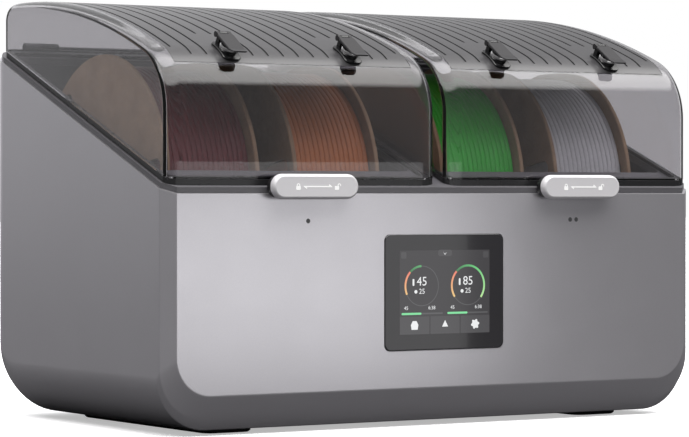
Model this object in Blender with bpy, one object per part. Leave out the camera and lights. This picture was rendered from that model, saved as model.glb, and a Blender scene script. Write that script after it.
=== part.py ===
"""Filament dryer box for four spools under two tilting lids.

Metres, +Z up, +X to the user's right, +Y to the back. The box stands on z = 0 and its plan is
centred on the origin. Every shape is drawn in box coordinates (x, depth behind the front face,
height above the table), and one empty, "box_frame", carries them to their place.
"""
import math

import bmesh
import bpy
from mathutils import Matrix, Vector

# ---------------------------------------------------------------- driving dimensions
WIDTH = 0.457             # side wall to side wall
DEPTH = 0.2675            # front face to rear wall
FRONT_TOP = 0.167         # table to the top edge of the front face
DECK_SLOPE = 0.389        # rise of the sloping deck for each metre of depth
WALL = 0.003              # housing wall
FIT = 0.0003              # gap that touching pieces keep

FOOT_HEIGHT = 0.0037
SIDE_CHAMFER = 0.0085     # front face to side wall
FOOT_CHAMFER = (0.013, 0.024)   # front face to underside: depth, height
LOWER_CORNER = 0.038      # side wall to underside
REAR_CORNER = 0.036       # rear wall to underside
REAR_EDGE = 0.0137        # rear wall to side wall

DECK_EDGE = 0.0038        # lower step of the deck, all round
DECK_STEP = 0.0012        # raised step under each lid
DECK_INSET = 0.0012       # deck edge behind the housing's face
SEAL_HEIGHT = 0.0008
SEAL_WIDTH = 0.0032
RIM_HEIGHT = 0.0016
RIM_INSET = 0.0028        # raised step and seal inside the lid's outline

LID_GAP = 0.009           # between the two lids
LID_SIDE_STEP = 0.0029    # lid inside the housing's side wall
LID_FRONT = 0.0040        # lid's front wall behind the front face
LID_BACK = 0.010          # lid's rear wall ahead of the housing's rear wall
LID_REAR_RISE = 0.0389    # highest point of the lid over the deck's rear edge
LID_WALL = 0.0032
LID_EDGE = (0.012, 0.0055)      # rounding of the lid's side edges: across, inwards
NOSE_RADIUS = 0.050
CROWN_RADIUS = 0.550
CROWN_BACK = 0.0275       # highest line of the lid ahead of the rear wall
TAIL_RADIUS = 0.014

PANEL_THICK = 0.0017
PANEL_LEDGE = 0.004       # width of the ledge that carries the panel
PANEL_FRONT = -0.0227     # panel's front edge along the roof, from the nose's end
GROOVE_PITCH = 0.0124
GROOVE_WIDTH = 0.0022
GROOVE_DEEP = 0.0008
GROOVE_START = -0.0141    # front of a groove, measured as PANEL_FRONT is
GROOVE_AT_CAP = 0.027     # the same behind an outlet cap, which needs the room
GROOVE_OUTER = 0.009      # outermost grooves start this much later

SPOOL_RADIUS = 0.096
SPOOL_WIDTH = 0.073
SPOOL_PITCH = 0.101
FLANGE_THICK = 0.0034
HUB_RADIUS = 0.046
BORE_RADIUS = 0.0265
WIND_RADIUS = SPOOL_RADIUS - 0.008
ROUND = 32                # sides of the large round pieces
ROLLER_RADIUS = 0.009
ROLLER_LENGTH = SPOOL_WIDTH + 0.005
AXLE_RADIUS = 0.0025
ROLLER_ANGLE = math.radians(30)  # roller off the line straight under the spool
ROLLER_RISE = 0.0143      # roller axis over the chamber floor

CHAMBER_FLOOR = 0.066     # table to the chamber's floor
CHAMBER_FRONT = 0.028     # front face to the chamber's inner front wall
CHAMBER_BACK = 0.018      # chamber's inner rear wall ahead of the housing's rear wall
CHAMBER_SIDE = 0.007      # chamber's inner side wall inside the lid's outline
CHAMBER_WALL = 0.0025
CHAMBER_CORNER = 0.035    # sloping lower corners, front and rear

HINGE_BACK = 0.0045       # hinge axis ahead of the housing's rear wall
KNUCKLE_RADIUS = 0.0034
KNUCKLE_LENGTH = 0.014
HINGE_SPREAD = 0.075      # knuckle pair from the lid's middle
PIN_RADIUS = 0.0015

LATCH_SIZE = (0.070, 0.0176)    # across, tall
LATCH_TOP = 0.0138        # over the front face's top edge
LATCH_PROUD = 0.0120
LATCH_BACK = -0.0065      # back of the pill, where its narrower foot starts
LATCH_STEP = 0.0012       # foot inside the pill's outline
LATCH_TRAVEL = 0.008
TONGUE_HALF = 0.020

BEZEL_SIZE = (0.103, 0.083)
DISPLAY_SIZE = (0.084, 0.066)
SCREEN_DROP = 0.0705      # front face's top edge to the middle of the screen
SEAT = 0.0017             # depth of the rebates that hold bezel and covers

OUTLET_SPREAD = 0.050     # filament outlets from the lid's middle
OUTLET_PLACE = -0.0104    # middle of an outlet, measured as PANEL_FRONT is
OUTLET_BORE = 0.004

FAN_SIZE = 0.060
FAN_THICK = 0.015
HEATER_THICK = 0.016

# ---------------------------------------------------------------- derived places
HALF = WIDTH / 2
BASE = FOOT_HEIGHT + FIT
LID_HALF = (HALF - LID_SIDE_STEP - LID_GAP / 2) / 2
LID_CENTRE = LID_GAP / 2 + LID_HALF
LID_REAR = DEPTH - LID_BACK
SIDES = {"left": -1, "right": 1}

DECK_TOP = FIT + DECK_EDGE
STEP_TOP = DECK_TOP + DECK_STEP
SEAL_TOP = STEP_TOP + FIT + SEAL_HEIGHT
RIM_TOP = SEAL_TOP + FIT + RIM_HEIGHT
LID_BASE = RIM_TOP + FIT


def deck(depth, above=0.0):
    """Height of the housing's sloping top edge at a depth, and of a plane above it."""
    return FRONT_TOP + DECK_SLOPE * depth + above


LID_TOP = deck(DEPTH) + LID_REAR_RISE
CROWN_CENTRE = (DEPTH - CROWN_BACK, LID_TOP - CROWN_RADIUS)
NOSE_Y = LID_FRONT + NOSE_RADIUS
NOSE_REACH = CROWN_RADIUS - NOSE_RADIUS
NOSE_CENTRE = (NOSE_Y, CROWN_CENTRE[1] + math.sqrt(NOSE_REACH ** 2 - (CROWN_CENTRE[0] - NOSE_Y) ** 2))
NOSE_END = math.atan2(NOSE_CENTRE[1] - CROWN_CENTRE[1], NOSE_CENTRE[0] - CROWN_CENTRE[0])
TAIL_CENTRE_Y = LID_REAR - TAIL_RADIUS
TAIL_START = math.acos((TAIL_CENTRE_Y - CROWN_CENTRE[0]) / (CROWN_RADIUS - TAIL_RADIUS))
TAIL_CENTRE = (TAIL_CENTRE_Y, CROWN_CENTRE[1] + (CROWN_RADIUS - TAIL_RADIUS) * math.sin(TAIL_START))

HINGE_Y = DEPTH - HINGE_BACK
SLANT = math.cos(math.atan(DECK_SLOPE))
HINGE_Z = deck(HINGE_Y, DECK_TOP) + (KNUCKLE_RADIUS + 0.0005) / SLANT

CHAMBER_HALF = LID_HALF - CHAMBER_SIDE
CHAMBER_REAR = DEPTH - CHAMBER_BACK
ROLLER_REACH = SPOOL_RADIUS + ROLLER_RADIUS + FIT
ROLLER_Z = CHAMBER_FLOOR + ROLLER_RISE
SPOOL_Y = (CHAMBER_FRONT + CHAMBER_REAR) / 2
SPOOL_Z = ROLLER_Z + ROLLER_REACH * math.cos(ROLLER_ANGLE)
ROLLER_SPREAD = ROLLER_REACH * math.sin(ROLLER_ANGLE)
SCREEN_Z = FRONT_TOP - SCREEN_DROP
BAY_FLOOR = BASE + SEAT

# ---------------------------------------------------------------- clean start
for old in list(bpy.data.objects):
    bpy.data.objects.remove(old, do_unlink=True)

box_frame = bpy.data.objects.new("box_frame", None)
bpy.context.collection.objects.link(box_frame)
box_frame.location = (0, -(DEPTH - LATCH_PROUD) / 2, 0)


# ---------------------------------------------------------------- materials
def material(name, colour, roughness, metallic=0.0, alpha=1.0):
    made = bpy.data.materials.new(name)
    made.use_nodes = True
    shader = made.node_tree.nodes["Principled BSDF"]
    shader.inputs["Base Color"].default_value = (*colour, 1)
    shader.inputs["Roughness"].default_value = roughness
    shader.inputs["Metallic"].default_value = metallic
    shader.inputs["Alpha"].default_value = alpha
    return made


GREY_HOUSING = material("grey_housing", (0.30, 0.29, 0.31), 0.42, 0.35)
DARK_TRIM = material("dark_trim", (0.045, 0.043, 0.048), 0.45)
BLACK_PLASTIC = material("black_plastic", (0.012, 0.012, 0.013), 0.4)
CHAMBER_GREY = material("chamber_grey", (0.05, 0.05, 0.055), 0.6)
SMOKE_CLEAR = material("smoke_clear", (0.30, 0.29, 0.30), 0.06, 0.0, 0.35)
SMOKE_PANEL = material("smoke_panel", (0.07, 0.07, 0.075), 0.35, 0.0, 0.92)
LATCH_GREY = material("latch_grey", (0.55, 0.54, 0.56), 0.4)
RUBBER = material("rubber", (0.02, 0.02, 0.02), 0.8)
SCREEN_GLASS = material("screen_glass", (0.01, 0.01, 0.012), 0.08)
CIRCUIT = material("circuit", (0.02, 0.10, 0.05), 0.5)
STEEL = material("steel", (0.55, 0.55, 0.56), 0.3, 1.0)
CARDBOARD = material("cardboard", (0.30, 0.19, 0.11), 0.85)
ROLLER_PLASTIC = material("roller_plastic", (0.35, 0.35, 0.36), 0.45)
FILAMENT = [
    material("filament_maroon", (0.11, 0.012, 0.018), 0.4),
    material("filament_copper", (0.38, 0.12, 0.04), 0.4),
    material("filament_green", (0.02, 0.30, 0.03), 0.4),
    material("filament_grey", (0.30, 0.30, 0.31), 0.4),
]


# ---------------------------------------------------------------- modelling tools
def mesh_of(bm):
    bmesh.ops.recalc_face_normals(bm, faces=bm.faces)
    mesh = bpy.data.meshes.new("shape")
    bm.to_mesh(mesh)
    bm.free()
    return mesh


def loft(rings, closed=False):
    """A solid through matching outlines: capped at both ends, or closed back on itself."""
    bm = bmesh.new()
    loops = [[bm.verts.new(point) for point in ring] for ring in rings]
    pairs = list(zip(loops, loops[1:]))
    if closed:
        pairs.append((loops[-1], loops[0]))
    for near, far in pairs:
        for i in range(len(near)):
            j = (i + 1) % len(near)
            bm.faces.new((near[i], near[j], far[j], far[i]))
    if not closed:
        bm.faces.new(loops[0])
        bm.faces.new(list(reversed(loops[-1])))
    return mesh_of(bm)


def place(outline, axis, at):
    """A flat outline set across an axis: (y, z) for X, (x, z) for Y and (x, y) for Z."""
    if axis == "X":
        return [(at, u, v) for u, v in outline]
    if axis == "Y":
        return [(u, at, v) for u, v in outline]
    return [(u, v, at) for u, v in outline]


def prism(outline, axis, low, high):
    return loft([place(outline, axis, low), place(outline, axis, high)])


def box(x, y, z):
    """A block between three (low, high) pairs."""
    return prism([(x[0], y[0]), (x[1], y[0]), (x[1], y[1]), (x[0], y[1])], "Z", *z)


def arc(centre, radii, start, end, steps):
    """Points of an elliptical arc, both ends included; angles in radians."""
    points = []
    for k in range(steps + 1):
        angle = start + (end - start) * k / steps
        points.append((centre[0] + radii[0] * math.cos(angle), centre[1] + radii[1] * math.sin(angle)))
    return points


def rounded(centre, size, corner, steps=3):
    """A rectangle with rounded corners; corner is a radius or an (across, along) pair."""
    rx, ry = corner if isinstance(corner, tuple) else (corner, corner)
    dx = size[0] / 2 - rx
    dy = size[1] / 2 - ry
    points = []
    for quarter, (sx, sy) in enumerate(((1, 1), (-1, 1), (-1, -1), (1, -1))):
        turn = quarter * math.pi / 2
        middle = (centre[0] + sx * dx, centre[1] + sy * dy)
        points += arc(middle, (rx, ry), turn, turn + math.pi / 2, steps)
    return points


def circle(centre, radius, segments):
    return arc(centre, (radius, radius), 0, 2 * math.pi * (segments - 1) / segments, segments - 1)


def turned(profile, axis, centre, segments, bored):
    """A round piece from (radius, place along the axis) pairs; bored pieces close on themselves."""
    return loft([place(circle(centre, r, segments), axis, at) for r, at in profile], closed=bored)


def moved(mesh, matrix):
    mesh.transform(matrix)
    return mesh


def joined(meshes):
    """Several separate meshes as one, for one cut or one join."""
    bm = bmesh.new()
    for mesh in meshes:
        bm.from_mesh(mesh)
    return mesh_of(bm)


def boolean(mesh, tool, operation):
    body = bpy.data.objects.new("body", mesh)
    other = bpy.data.objects.new("tool", tool)
    for item in (body, other):
        bpy.context.collection.objects.link(item)
    modifier = body.modifiers.new("boolean", "BOOLEAN")
    modifier.operation = operation
    modifier.solver = "EXACT"
    modifier.object = other
    graph = bpy.context.evaluated_depsgraph_get()
    result = bpy.data.meshes.new_from_object(body.evaluated_get(graph))
    for item in (body, other):
        bpy.data.objects.remove(item, do_unlink=True)
    return result


def cut(mesh, *tools):
    for tool in tools:
        mesh = boolean(mesh, tool, "DIFFERENCE")
    return mesh


def fused(mesh, *tools):
    for tool in tools:
        mesh = boolean(mesh, tool, "UNION")
    return mesh


def add(name, mesh, look, origin=(0, 0, 0), parent=None, smooth=True):
    """One sub-part: its origin is on its joint's axis, its parent is the box or a lid."""
    thing = bpy.data.objects.new(name, mesh)
    mesh.name = name
    mesh.materials.clear()
    mesh.materials.append(look)
    mesh.transform(Matrix.Translation(-Vector(origin)))
    if smooth:
        mesh.shade_smooth()
        mesh.set_sharp_from_angle(angle=math.radians(35))
    bpy.context.collection.objects.link(thing)
    holder = parent or box_frame
    thing.parent = holder
    thing.location = Vector(origin) - (holder.location if parent else Vector((0, 0, 0)))
    return thing


# ---------------------------------------------------------------- housing
def housing_ring(depth, half, bottom, corner, top):
    """The housing's outline at one depth, with its top edge on the deck's plane."""
    right = arc((half - corner, bottom + corner), (corner, corner), 0, -math.pi / 2, 5)
    left = [(-x, z) for x, z in reversed(right)]
    return place([(half, top)] + right + left + [(-half, top)], "Y", depth)


def housing_solid(inset, above):
    """The housing's outer shape drawn in by inset, cut off on a plane above the deck."""
    chamfer_depth, chamfer_height = FOOT_CHAMFER
    share = SIDE_CHAMFER / chamfer_depth
    stations = [
        (inset, HALF - SIDE_CHAMFER, chamfer_height, LOWER_CORNER - 0.011),
        (SIDE_CHAMFER + inset / 2, HALF, chamfer_height * (1 - share), LOWER_CORNER - 0.004),
        (chamfer_depth + inset / 2, HALF, 0, LOWER_CORNER),
    ]
    radius = REAR_CORNER - inset
    for k in range(6):
        angle = math.pi / 2 * k / 5
        depth = DEPTH - inset - radius * (1 - math.sin(angle))
        past = min(1.0, max(0.0, (depth - (DEPTH - REAR_EDGE)) / REAR_EDGE))
        half = HALF - REAR_EDGE * (1 - math.sqrt(1 - past ** 2))
        stations.append((depth, half, radius * (1 - math.cos(angle)), LOWER_CORNER))
    rings = []
    for depth, half, lift, corner in stations:
        top = deck(depth, above)
        rings.append(housing_ring(depth, half - inset, BASE + inset + lift, corner - inset, top))
    return loft(rings)


BASE_HALF = HALF - LOWER_CORNER - 0.006
BASE_DEPTHS = (FOOT_CHAMFER[0] + 0.008, DEPTH - REAR_CORNER - 0.004)
REAR_HALF = HALF - 0.030
REAR_HEIGHTS = (BASE + REAR_CORNER + 0.006, deck(DEPTH) - 0.070)
LEDGE = 0.006             # what the rebates leave to seat a cover on


def widened(pair, by):
    return (pair[0] - by, pair[1] + by)


def screen_outline(size, grow, corner=0.005):
    return rounded((0, SCREEN_Z), (size[0] + 2 * grow, size[1] + 2 * grow), corner)


def make_outer_shell():
    shell = cut(housing_solid(0, 0), housing_solid(WALL, 0.02))
    long = 0.02
    base = (-BASE_HALF, BASE_HALF)
    rear = (-REAR_HALF, REAR_HALF)
    cutters = [
        prism(screen_outline(BEZEL_SIZE, FIT), "Y", -long, SEAT),
        prism(screen_outline(DISPLAY_SIZE, FIT, 0.002), "Y", -long, long),
        box(base, BASE_DEPTHS, (BASE - long, BASE + SEAT)),
        box(widened(base, -LEDGE), widened(BASE_DEPTHS, -LEDGE), (BASE - long, BASE + long / 2)),
        box(rear, (DEPTH - SEAT, DEPTH + long), REAR_HEIGHTS),
        box(widened(rear, -LEDGE), (DEPTH - long / 2, DEPTH + long), widened(REAR_HEIGHTS, -LEDGE)),
    ]
    bosses = []
    for x in (-BOARD_POST[0], BOARD_POST[0]):
        for z in (-BOARD_POST[1], BOARD_POST[1]):
            profile = [(0.003, WALL - 0.001), (0.003, BOARD_DEPTH - FIT)]
            bosses.append(turned(profile, "Y", (x, SCREEN_Z + z), 12, False))
    shell = fused(cut(shell, *cutters), joined(bosses))
    add("outer_shell", shell, GREY_HOUSING)


INLET_X = -0.150
INLET_SIZE = (0.028, 0.021)
INLET_Z = REAR_HEIGHTS[0] + LEDGE + 0.016
SLOT = 0.0030


def make_rear_cover():
    """Flat service cover with two fields of vent slots and the hole for the inlet."""
    outline = widened((-REAR_HALF, REAR_HALF), -FIT)
    heights = widened(REAR_HEIGHTS, -FIT)
    plate = box(outline, (DEPTH - SEAT + FIT, DEPTH), heights)
    through = (DEPTH - 0.02, DEPTH + 0.02)
    slots = []
    for middle in (-LID_CENTRE / 2, LID_CENTRE):
        for k in range(8):
            x = middle + (k - 3.5) * 0.0085
            slots.append(box((x - SLOT / 2, x + SLOT / 2), through, (INLET_Z - 0.010, INLET_Z + 0.010)))
    hole = rounded((INLET_X, INLET_Z), (INLET_SIZE[0] + 2 * FIT, INLET_SIZE[1] + 2 * FIT), 0.002, 2)
    add("rear_cover", cut(plate, joined(slots), prism(hole, "Y", *through)), GREY_HOUSING)


def make_base_plate():
    """Steel floor of the electronics bay, with an intake grille under each fan."""
    plate = box(widened((-BASE_HALF, BASE_HALF), -FIT), widened(BASE_DEPTHS, -FIT),
                (BASE, BAY_FLOOR - FIT))
    slots = []
    for side in SIDES.values():
        for k in range(7):
            x = side * LID_CENTRE + (k - 3) * 0.0068
            slots.append(box((x - SLOT / 2, x + SLOT / 2), (SPOOL_Y - 0.022, SPOOL_Y + 0.022), (0, 0.02)))
    add("base_plate", cut(plate, joined(slots)), STEEL)


def make_feet():
    """Two rubber strips that run from front to back."""
    middle = sum(BASE_DEPTHS) / 2
    length = BASE_DEPTHS[1] - BASE_DEPTHS[0] - 0.018
    for name, side in SIDES.items():
        lower = rounded((side * FOOT_X, middle), (FOOT_WIDTH - 0.003, length - 0.003), 0.007)
        upper = rounded((side * FOOT_X, middle), (FOOT_WIDTH, length), 0.0085)
        rings = [place(lower, "Z", 0), place(upper, "Z", 0.0012), place(upper, "Z", FOOT_HEIGHT)]
        add("foot_" + name, loft(rings), RUBBER)


FOOT_WIDTH = 0.040
FOOT_X = BASE_HALF - FOOT_WIDTH / 2 - 0.004


# ---------------------------------------------------------------- screen and electronics
BOARD_DEPTH = 0.0095
BOARD_POST = (0.050, 0.036)


def make_screen():
    edge = 0.0008
    front = -0.0007
    outer = screen_outline(BEZEL_SIZE, 0)
    bevelled = screen_outline(BEZEL_SIZE, -edge, 0.005 - edge)
    rings = [place(bevelled, "Y", front), place(outer, "Y", front + edge), place(outer, "Y", SEAT - FIT)]
    add("screen_bezel", loft(rings), SCREEN_GLASS)
    panel = prism(screen_outline(DISPLAY_SIZE, 0, 0.002), "Y", SEAT, SEAT + 0.005)
    add("display_panel", panel, SCREEN_GLASS)


def make_control_board():
    """Main board on four posts behind the display."""
    size = (0.108, 0.082)
    back = BOARD_DEPTH + 0.0016
    board = prism(rounded((0, SCREEN_Z), size, 0.003, 2), "Y", BOARD_DEPTH, back)
    chips = []
    layout = ((-0.020, 0.010, 0.024, 0.024, 0.003), (0.026, 0.016, 0.030, 0.012, 0.007),
              (0.024, -0.018, 0.018, 0.018, 0.004), (-0.030, -0.026, 0.026, 0.008, 0.008))
    for x, z, wide, tall, thick in layout:
        middle = SCREEN_Z + z
        chips.append(box((x - wide / 2, x + wide / 2), (back - 0.0005, back + thick),
                         (middle - tall / 2, middle + tall / 2)))
    add("control_board", fused(board, joined(chips)), CIRCUIT, smooth=False)


def make_power_parts():
    """Mains supply in a folded steel case, and the three-pin inlet in the rear cover."""
    rear = BASE_DEPTHS[1] - LEDGE - 0.004
    case = box((-0.058, 0.058), (rear - 0.058, rear), (BAY_FLOOR, BAY_FLOOR + 0.030))
    slots = []
    for k in range(8):
        x = (k - 3.5) * 0.012
        slots.append(box((x - 0.002, x + 0.002), (rear - 0.050, rear - 0.008),
                         (BAY_FLOOR + 0.0285, BAY_FLOOR + 0.04)))
    add("power_supply", cut(case, joined(slots)), STEEL, smooth=False)

    face = rounded((INLET_X, INLET_Z), INLET_SIZE, 0.002, 2)
    flange = rounded((INLET_X, INLET_Z), (INLET_SIZE[0] + 0.006, INLET_SIZE[1] + 0.006), 0.002, 2)
    seat = DEPTH - SEAT - LEDGE / 3
    rings = [place(face, "Y", DEPTH), place(face, "Y", seat), place(flange, "Y", seat - 0.0001),
             place(flange, "Y", seat - 0.002), place(face, "Y", seat - 0.0021),
             place(face, "Y", DEPTH - 0.021)]
    well = prism(rounded((INLET_X, INLET_Z), (0.024, 0.016), 0.003, 2), "Y", DEPTH - 0.016, DEPTH + 0.01)
    pins = []
    for x, z in ((-0.007, -0.003), (0, 0.0005), (0.007, -0.003)):
        pins.append(box((INLET_X + x - 0.001, INLET_X + x + 0.001), (DEPTH - 0.018, DEPTH - 0.003),
                        (INLET_Z + z - 0.002, INLET_Z + z + 0.002)))
    add("power_inlet", fused(cut(loft(rings), well), joined(pins)), BLACK_PLASTIC)


def make_air_parts(name, side):
    """Fan, heater and duct, stacked under the vents of one chamber."""
    x = side * LID_CENTRE
    square = (FAN_SIZE, FAN_SIZE)
    floor = BAY_FLOOR
    fan_top = floor + FAN_THICK
    swept = FAN_SIZE / 2 - 0.0025
    housing = prism(rounded((x, SPOOL_Y), square, 0.003, 2), "Z", floor, fan_top)
    housing = cut(housing, prism(circle((x, SPOOL_Y), swept, 28), "Z", floor - 0.01, fan_top + 0.01))
    spider = prism(circle((x, SPOOL_Y), 0.012, 16), "Z", floor + 0.0004, floor + 0.002)
    across = box((x - swept - 0.001, x + swept + 0.001), (SPOOL_Y - 0.002, SPOOL_Y + 0.002),
                 (floor + 0.0002, floor + 0.0017))
    along = box((x - 0.002, x + 0.002), (SPOOL_Y - swept - 0.001, SPOOL_Y + swept + 0.001),
                (floor + 0.0003, floor + 0.0018))
    add("fan_frame_" + name, fused(housing, spider, across, along), BLACK_PLASTIC)

    hub_low = floor + 0.0026
    rotor = turned([(0.0115, hub_low), (0.0115, fan_top - 0.002)], "Z", (x, SPOOL_Y), 21, False)
    blades = []
    for k in range(7):
        blade = box((0.010, swept - 0.001), (-0.0055, 0.0055), (-0.0006, 0.0006))
        blade = moved(blade, Matrix.Rotation(math.radians(38), 4, "X"))
        blade = moved(blade, Matrix.Rotation(2 * math.pi * k / 7, 4, "Z"))
        middle = (hub_low + fan_top - 0.002) / 2
        blades.append(moved(blade, Matrix.Translation((x, SPOOL_Y, middle))))
    add("fan_rotor_" + name, fused(rotor, joined(blades)), BLACK_PLASTIC, (x, SPOOL_Y, middle))

    low = fan_top + FIT
    high = low + HEATER_THICK
    width = widened((x, x), FAN_SIZE / 2)
    block = box(width, widened((SPOOL_Y, SPOOL_Y), FAN_SIZE / 2), (low, high))
    slots = []
    for k in range(7):
        middle = x + (k - 3) * 0.0070
        slots.append(box(widened((middle, middle), 0.0022), widened((SPOOL_Y, SPOOL_Y), 0.024),
                         (low - 0.01, high + 0.01)))
    add("heater_" + name, cut(block, joined(slots)), STEEL, smooth=False)

    outer = rounded((x, SPOOL_Y), square, 0.003, 2)
    inner = rounded((x, SPOOL_Y), (FAN_SIZE - 0.0036, FAN_SIZE - 0.0036), 0.0015, 2)
    bottom = high + FIT
    top = CHAMBER_FLOOR - CHAMBER_WALL - FIT
    duct = loft([place(outer, "Z", bottom), place(outer, "Z", top),
                 place(inner, "Z", top), place(inner, "Z", bottom)], closed=True)
    add("air_duct_" + name, duct, BLACK_PLASTIC)


# ---------------------------------------------------------------- chamber
def chamber_outline(inset, above):
    """Side view of a chamber's inside, drawn out by a negative inset."""
    front = CHAMBER_FRONT + inset
    rear = CHAMBER_REAR - inset
    floor = CHAMBER_FLOOR + inset
    corner = CHAMBER_CORNER - inset * 0.6
    return [(front, deck(front, above)), (front, floor + corner), (front + corner, floor),
            (rear - corner, floor), (rear, floor + corner), (rear, deck(rear, above))]


def roller_places(side):
    """Spool number within a lid, spool middle and roller depth, for the four rollers of a lid."""
    for spool in (-1, 1):
        for row in (-1, 1):
            yield side * LID_CENTRE + spool * SPOOL_PITCH / 2, SPOOL_Y + row * ROLLER_SPREAD


def make_chamber(name, side):
    middle = side * LID_CENTRE
    outside = CHAMBER_HALF + CHAMBER_WALL
    tub = prism(chamber_outline(-CHAMBER_WALL, 0), "X", middle - outside, middle + outside)
    hollow = prism(chamber_outline(0, 0.02), "X", middle - CHAMBER_HALF, middle + CHAMBER_HALF)
    vents = []
    for k in range(7):
        x = middle + (k - 3) * 0.0070
        vents.append(box(widened((x, x), 0.0018), widened((SPOOL_Y, SPOOL_Y), 0.022),
                         widened((CHAMBER_FLOOR, CHAMBER_FLOOR), 0.01)))
    forks = []
    reach = AXLE_RADIUS + FIT
    for x, y in roller_places(side):
        fork = [(y - 0.007, CHAMBER_FLOOR - 0.001), (y + 0.007, CHAMBER_FLOOR - 0.001),
                (y + 0.006, ROLLER_Z + 0.002), (y + reach, ROLLER_Z + 0.002), (y + reach, ROLLER_Z - reach),
                (y - reach, ROLLER_Z - reach), (y - reach, ROLLER_Z + 0.002), (y - 0.006, ROLLER_Z + 0.002)]
        for end in (-1, 1):
            near = x + end * (ROLLER_LENGTH / 2 + 0.0008)
            far = near + end * FORK_THICK
            forks.append(prism(fork, "X", min(near, far), max(near, far)))
    add("chamber_" + name, fused(cut(tub, hollow, joined(vents)), joined(forks)), CHAMBER_GREY)

    wall = middle + side * CHAMBER_HALF
    inner = wall - side * FIT
    face = wall - side * 0.005
    depths = (SPOOL_Y - 0.008, SPOOL_Y + 0.008)
    heights = (SPOOL_Z - 0.012, SPOOL_Z + 0.012)
    sensor = box((min(inner, face), max(inner, face)), depths, heights)
    slits = []
    for k in range(4):
        z = SPOOL_Z + (k - 1.5) * 0.005
        slits.append(box(widened((face, face), 0.001), widened(depths, -0.003), widened((z, z), 0.001)))
    add("humidity_sensor_" + name, cut(sensor, joined(slits)), LATCH_GREY, smooth=False)


FORK_THICK = 0.0042


def make_rollers(name, side):
    """Four free-turning rollers, two under each spool."""
    reach = ROLLER_LENGTH / 2 + 0.0008 + FORK_THICK
    round_off = 0.001
    for number, (x, y) in enumerate(roller_places(side), 1):
        profile = [(AXLE_RADIUS, x - reach), (AXLE_RADIUS, x - ROLLER_LENGTH / 2),
                   (ROLLER_RADIUS - round_off, x - ROLLER_LENGTH / 2 - 0.00001),
                   (ROLLER_RADIUS, x - ROLLER_LENGTH / 2 + round_off),
                   (ROLLER_RADIUS, x + ROLLER_LENGTH / 2 - round_off),
                   (ROLLER_RADIUS - round_off, x + ROLLER_LENGTH / 2 + 0.00001),
                   (AXLE_RADIUS, x + ROLLER_LENGTH / 2), (AXLE_RADIUS, x + reach)]
        roller = turned(profile, "X", (y, ROLLER_Z), 16, False)
        add("roller_%s_%d" % (name, number), roller, ROLLER_PLASTIC, (x, y, ROLLER_Z))


# ---------------------------------------------------------------- spools
def make_spool(number, x):
    """Cardboard spool with three slots in each flange, and the filament wound on it."""
    edge = SPOOL_WIDTH / 2
    inside = edge - FLANGE_THICK
    centre = (SPOOL_Y, SPOOL_Z)
    profile = [(BORE_RADIUS, x - edge), (SPOOL_RADIUS, x - edge), (SPOOL_RADIUS, x - inside),
               (HUB_RADIUS, x - inside), (HUB_RADIUS, x + inside), (SPOOL_RADIUS, x + inside),
               (SPOOL_RADIUS, x + edge), (BORE_RADIUS, x + edge)]
    spool = turned(profile, "X", centre, ROUND, True)
    slots = []
    for k in range(3):
        for half in (-1, 1):
            slot = prism(rounded((0.070, 0), (0.036, 0.012), 0.0055, 2), "Z", -0.004, 0.004)
            slot = moved(slot, Matrix.Rotation(math.pi / 2, 4, "Y"))
            slot = moved(slot, Matrix.Rotation(math.radians(20 + 120 * k), 4, "X"))
            slots.append(moved(slot, Matrix.Translation((x + half * (edge - FLANGE_THICK / 2), *centre))))
    origin = (x, *centre)
    add("spool_%d" % number, cut(spool, joined(slots)), CARDBOARD, origin)
    low = HUB_RADIUS + FIT
    side = inside - FIT
    ring = [(low, x - side), (WIND_RADIUS, x - side), (WIND_RADIUS, x + side), (low, x + side)]
    add("filament_%d" % number, turned(ring, "X", centre, ROUND, True), FILAMENT[number - 1], origin)


# ---------------------------------------------------------------- deck
def lid_plan(side, inset, above):
    """A lid's outline seen from above, drawn in by inset, on a plane above the deck."""
    across = max(LID_EDGE[0] - inset, 0.003)
    inwards = max(LID_EDGE[1] - inset, 0.002)
    size = (2 * (LID_HALF - inset), LID_REAR - LID_FRONT - 2 * inset)
    middle = (side * LID_CENTRE, (LID_FRONT + LID_REAR) / 2)
    return [(x, y, deck(y, above)) for x, y in rounded(middle, size, (across, inwards), 4)]


def deck_plan(above):
    front = DECK_INSET
    half = HALF - DECK_INSET
    rear = DEPTH - DECK_INSET
    right = [(half - SIDE_CHAMFER, front), (half, front + SIDE_CHAMFER)]
    right += arc((half - REAR_EDGE, rear - REAR_EDGE), (REAR_EDGE, REAR_EDGE), 0, math.pi / 2, 4)
    outline = right + [(-x, y) for x, y in reversed(right)]
    return [(x, y, deck(y, above)) for x, y in outline]


def opening_plan(side, above):
    size = (2 * CHAMBER_HALF, CHAMBER_REAR - CHAMBER_FRONT)
    middle = (side * LID_CENTRE, (CHAMBER_REAR + CHAMBER_FRONT) / 2)
    return [(x, y, deck(y, above)) for x, y in rounded(middle, size, 0.006, 3)]


def knuckle_ends(side, place_out):
    """X range of a hinge knuckle that starts place_out from the spread, on both ends of a lid."""
    for end in (-1, 1):
        near = side * LID_CENTRE + end * (HINGE_SPREAD + place_out)
        far = near + end * (KNUCKLE_LENGTH - FIT)
        yield min(near, far), max(near, far)


def knuckle(ends):
    barrel = circle((HINGE_Y, HINGE_Z), KNUCKLE_RADIUS, 16)
    return prism(barrel, "X", *ends)


def pin_hole(side):
    reach = HINGE_SPREAD + 3 * KNUCKLE_LENGTH
    middle = side * LID_CENTRE
    hole = circle((HINGE_Y, HINGE_Z), PIN_RADIUS + FIT, 10)
    return prism(hole, "X", middle - reach, middle + reach)


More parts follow.
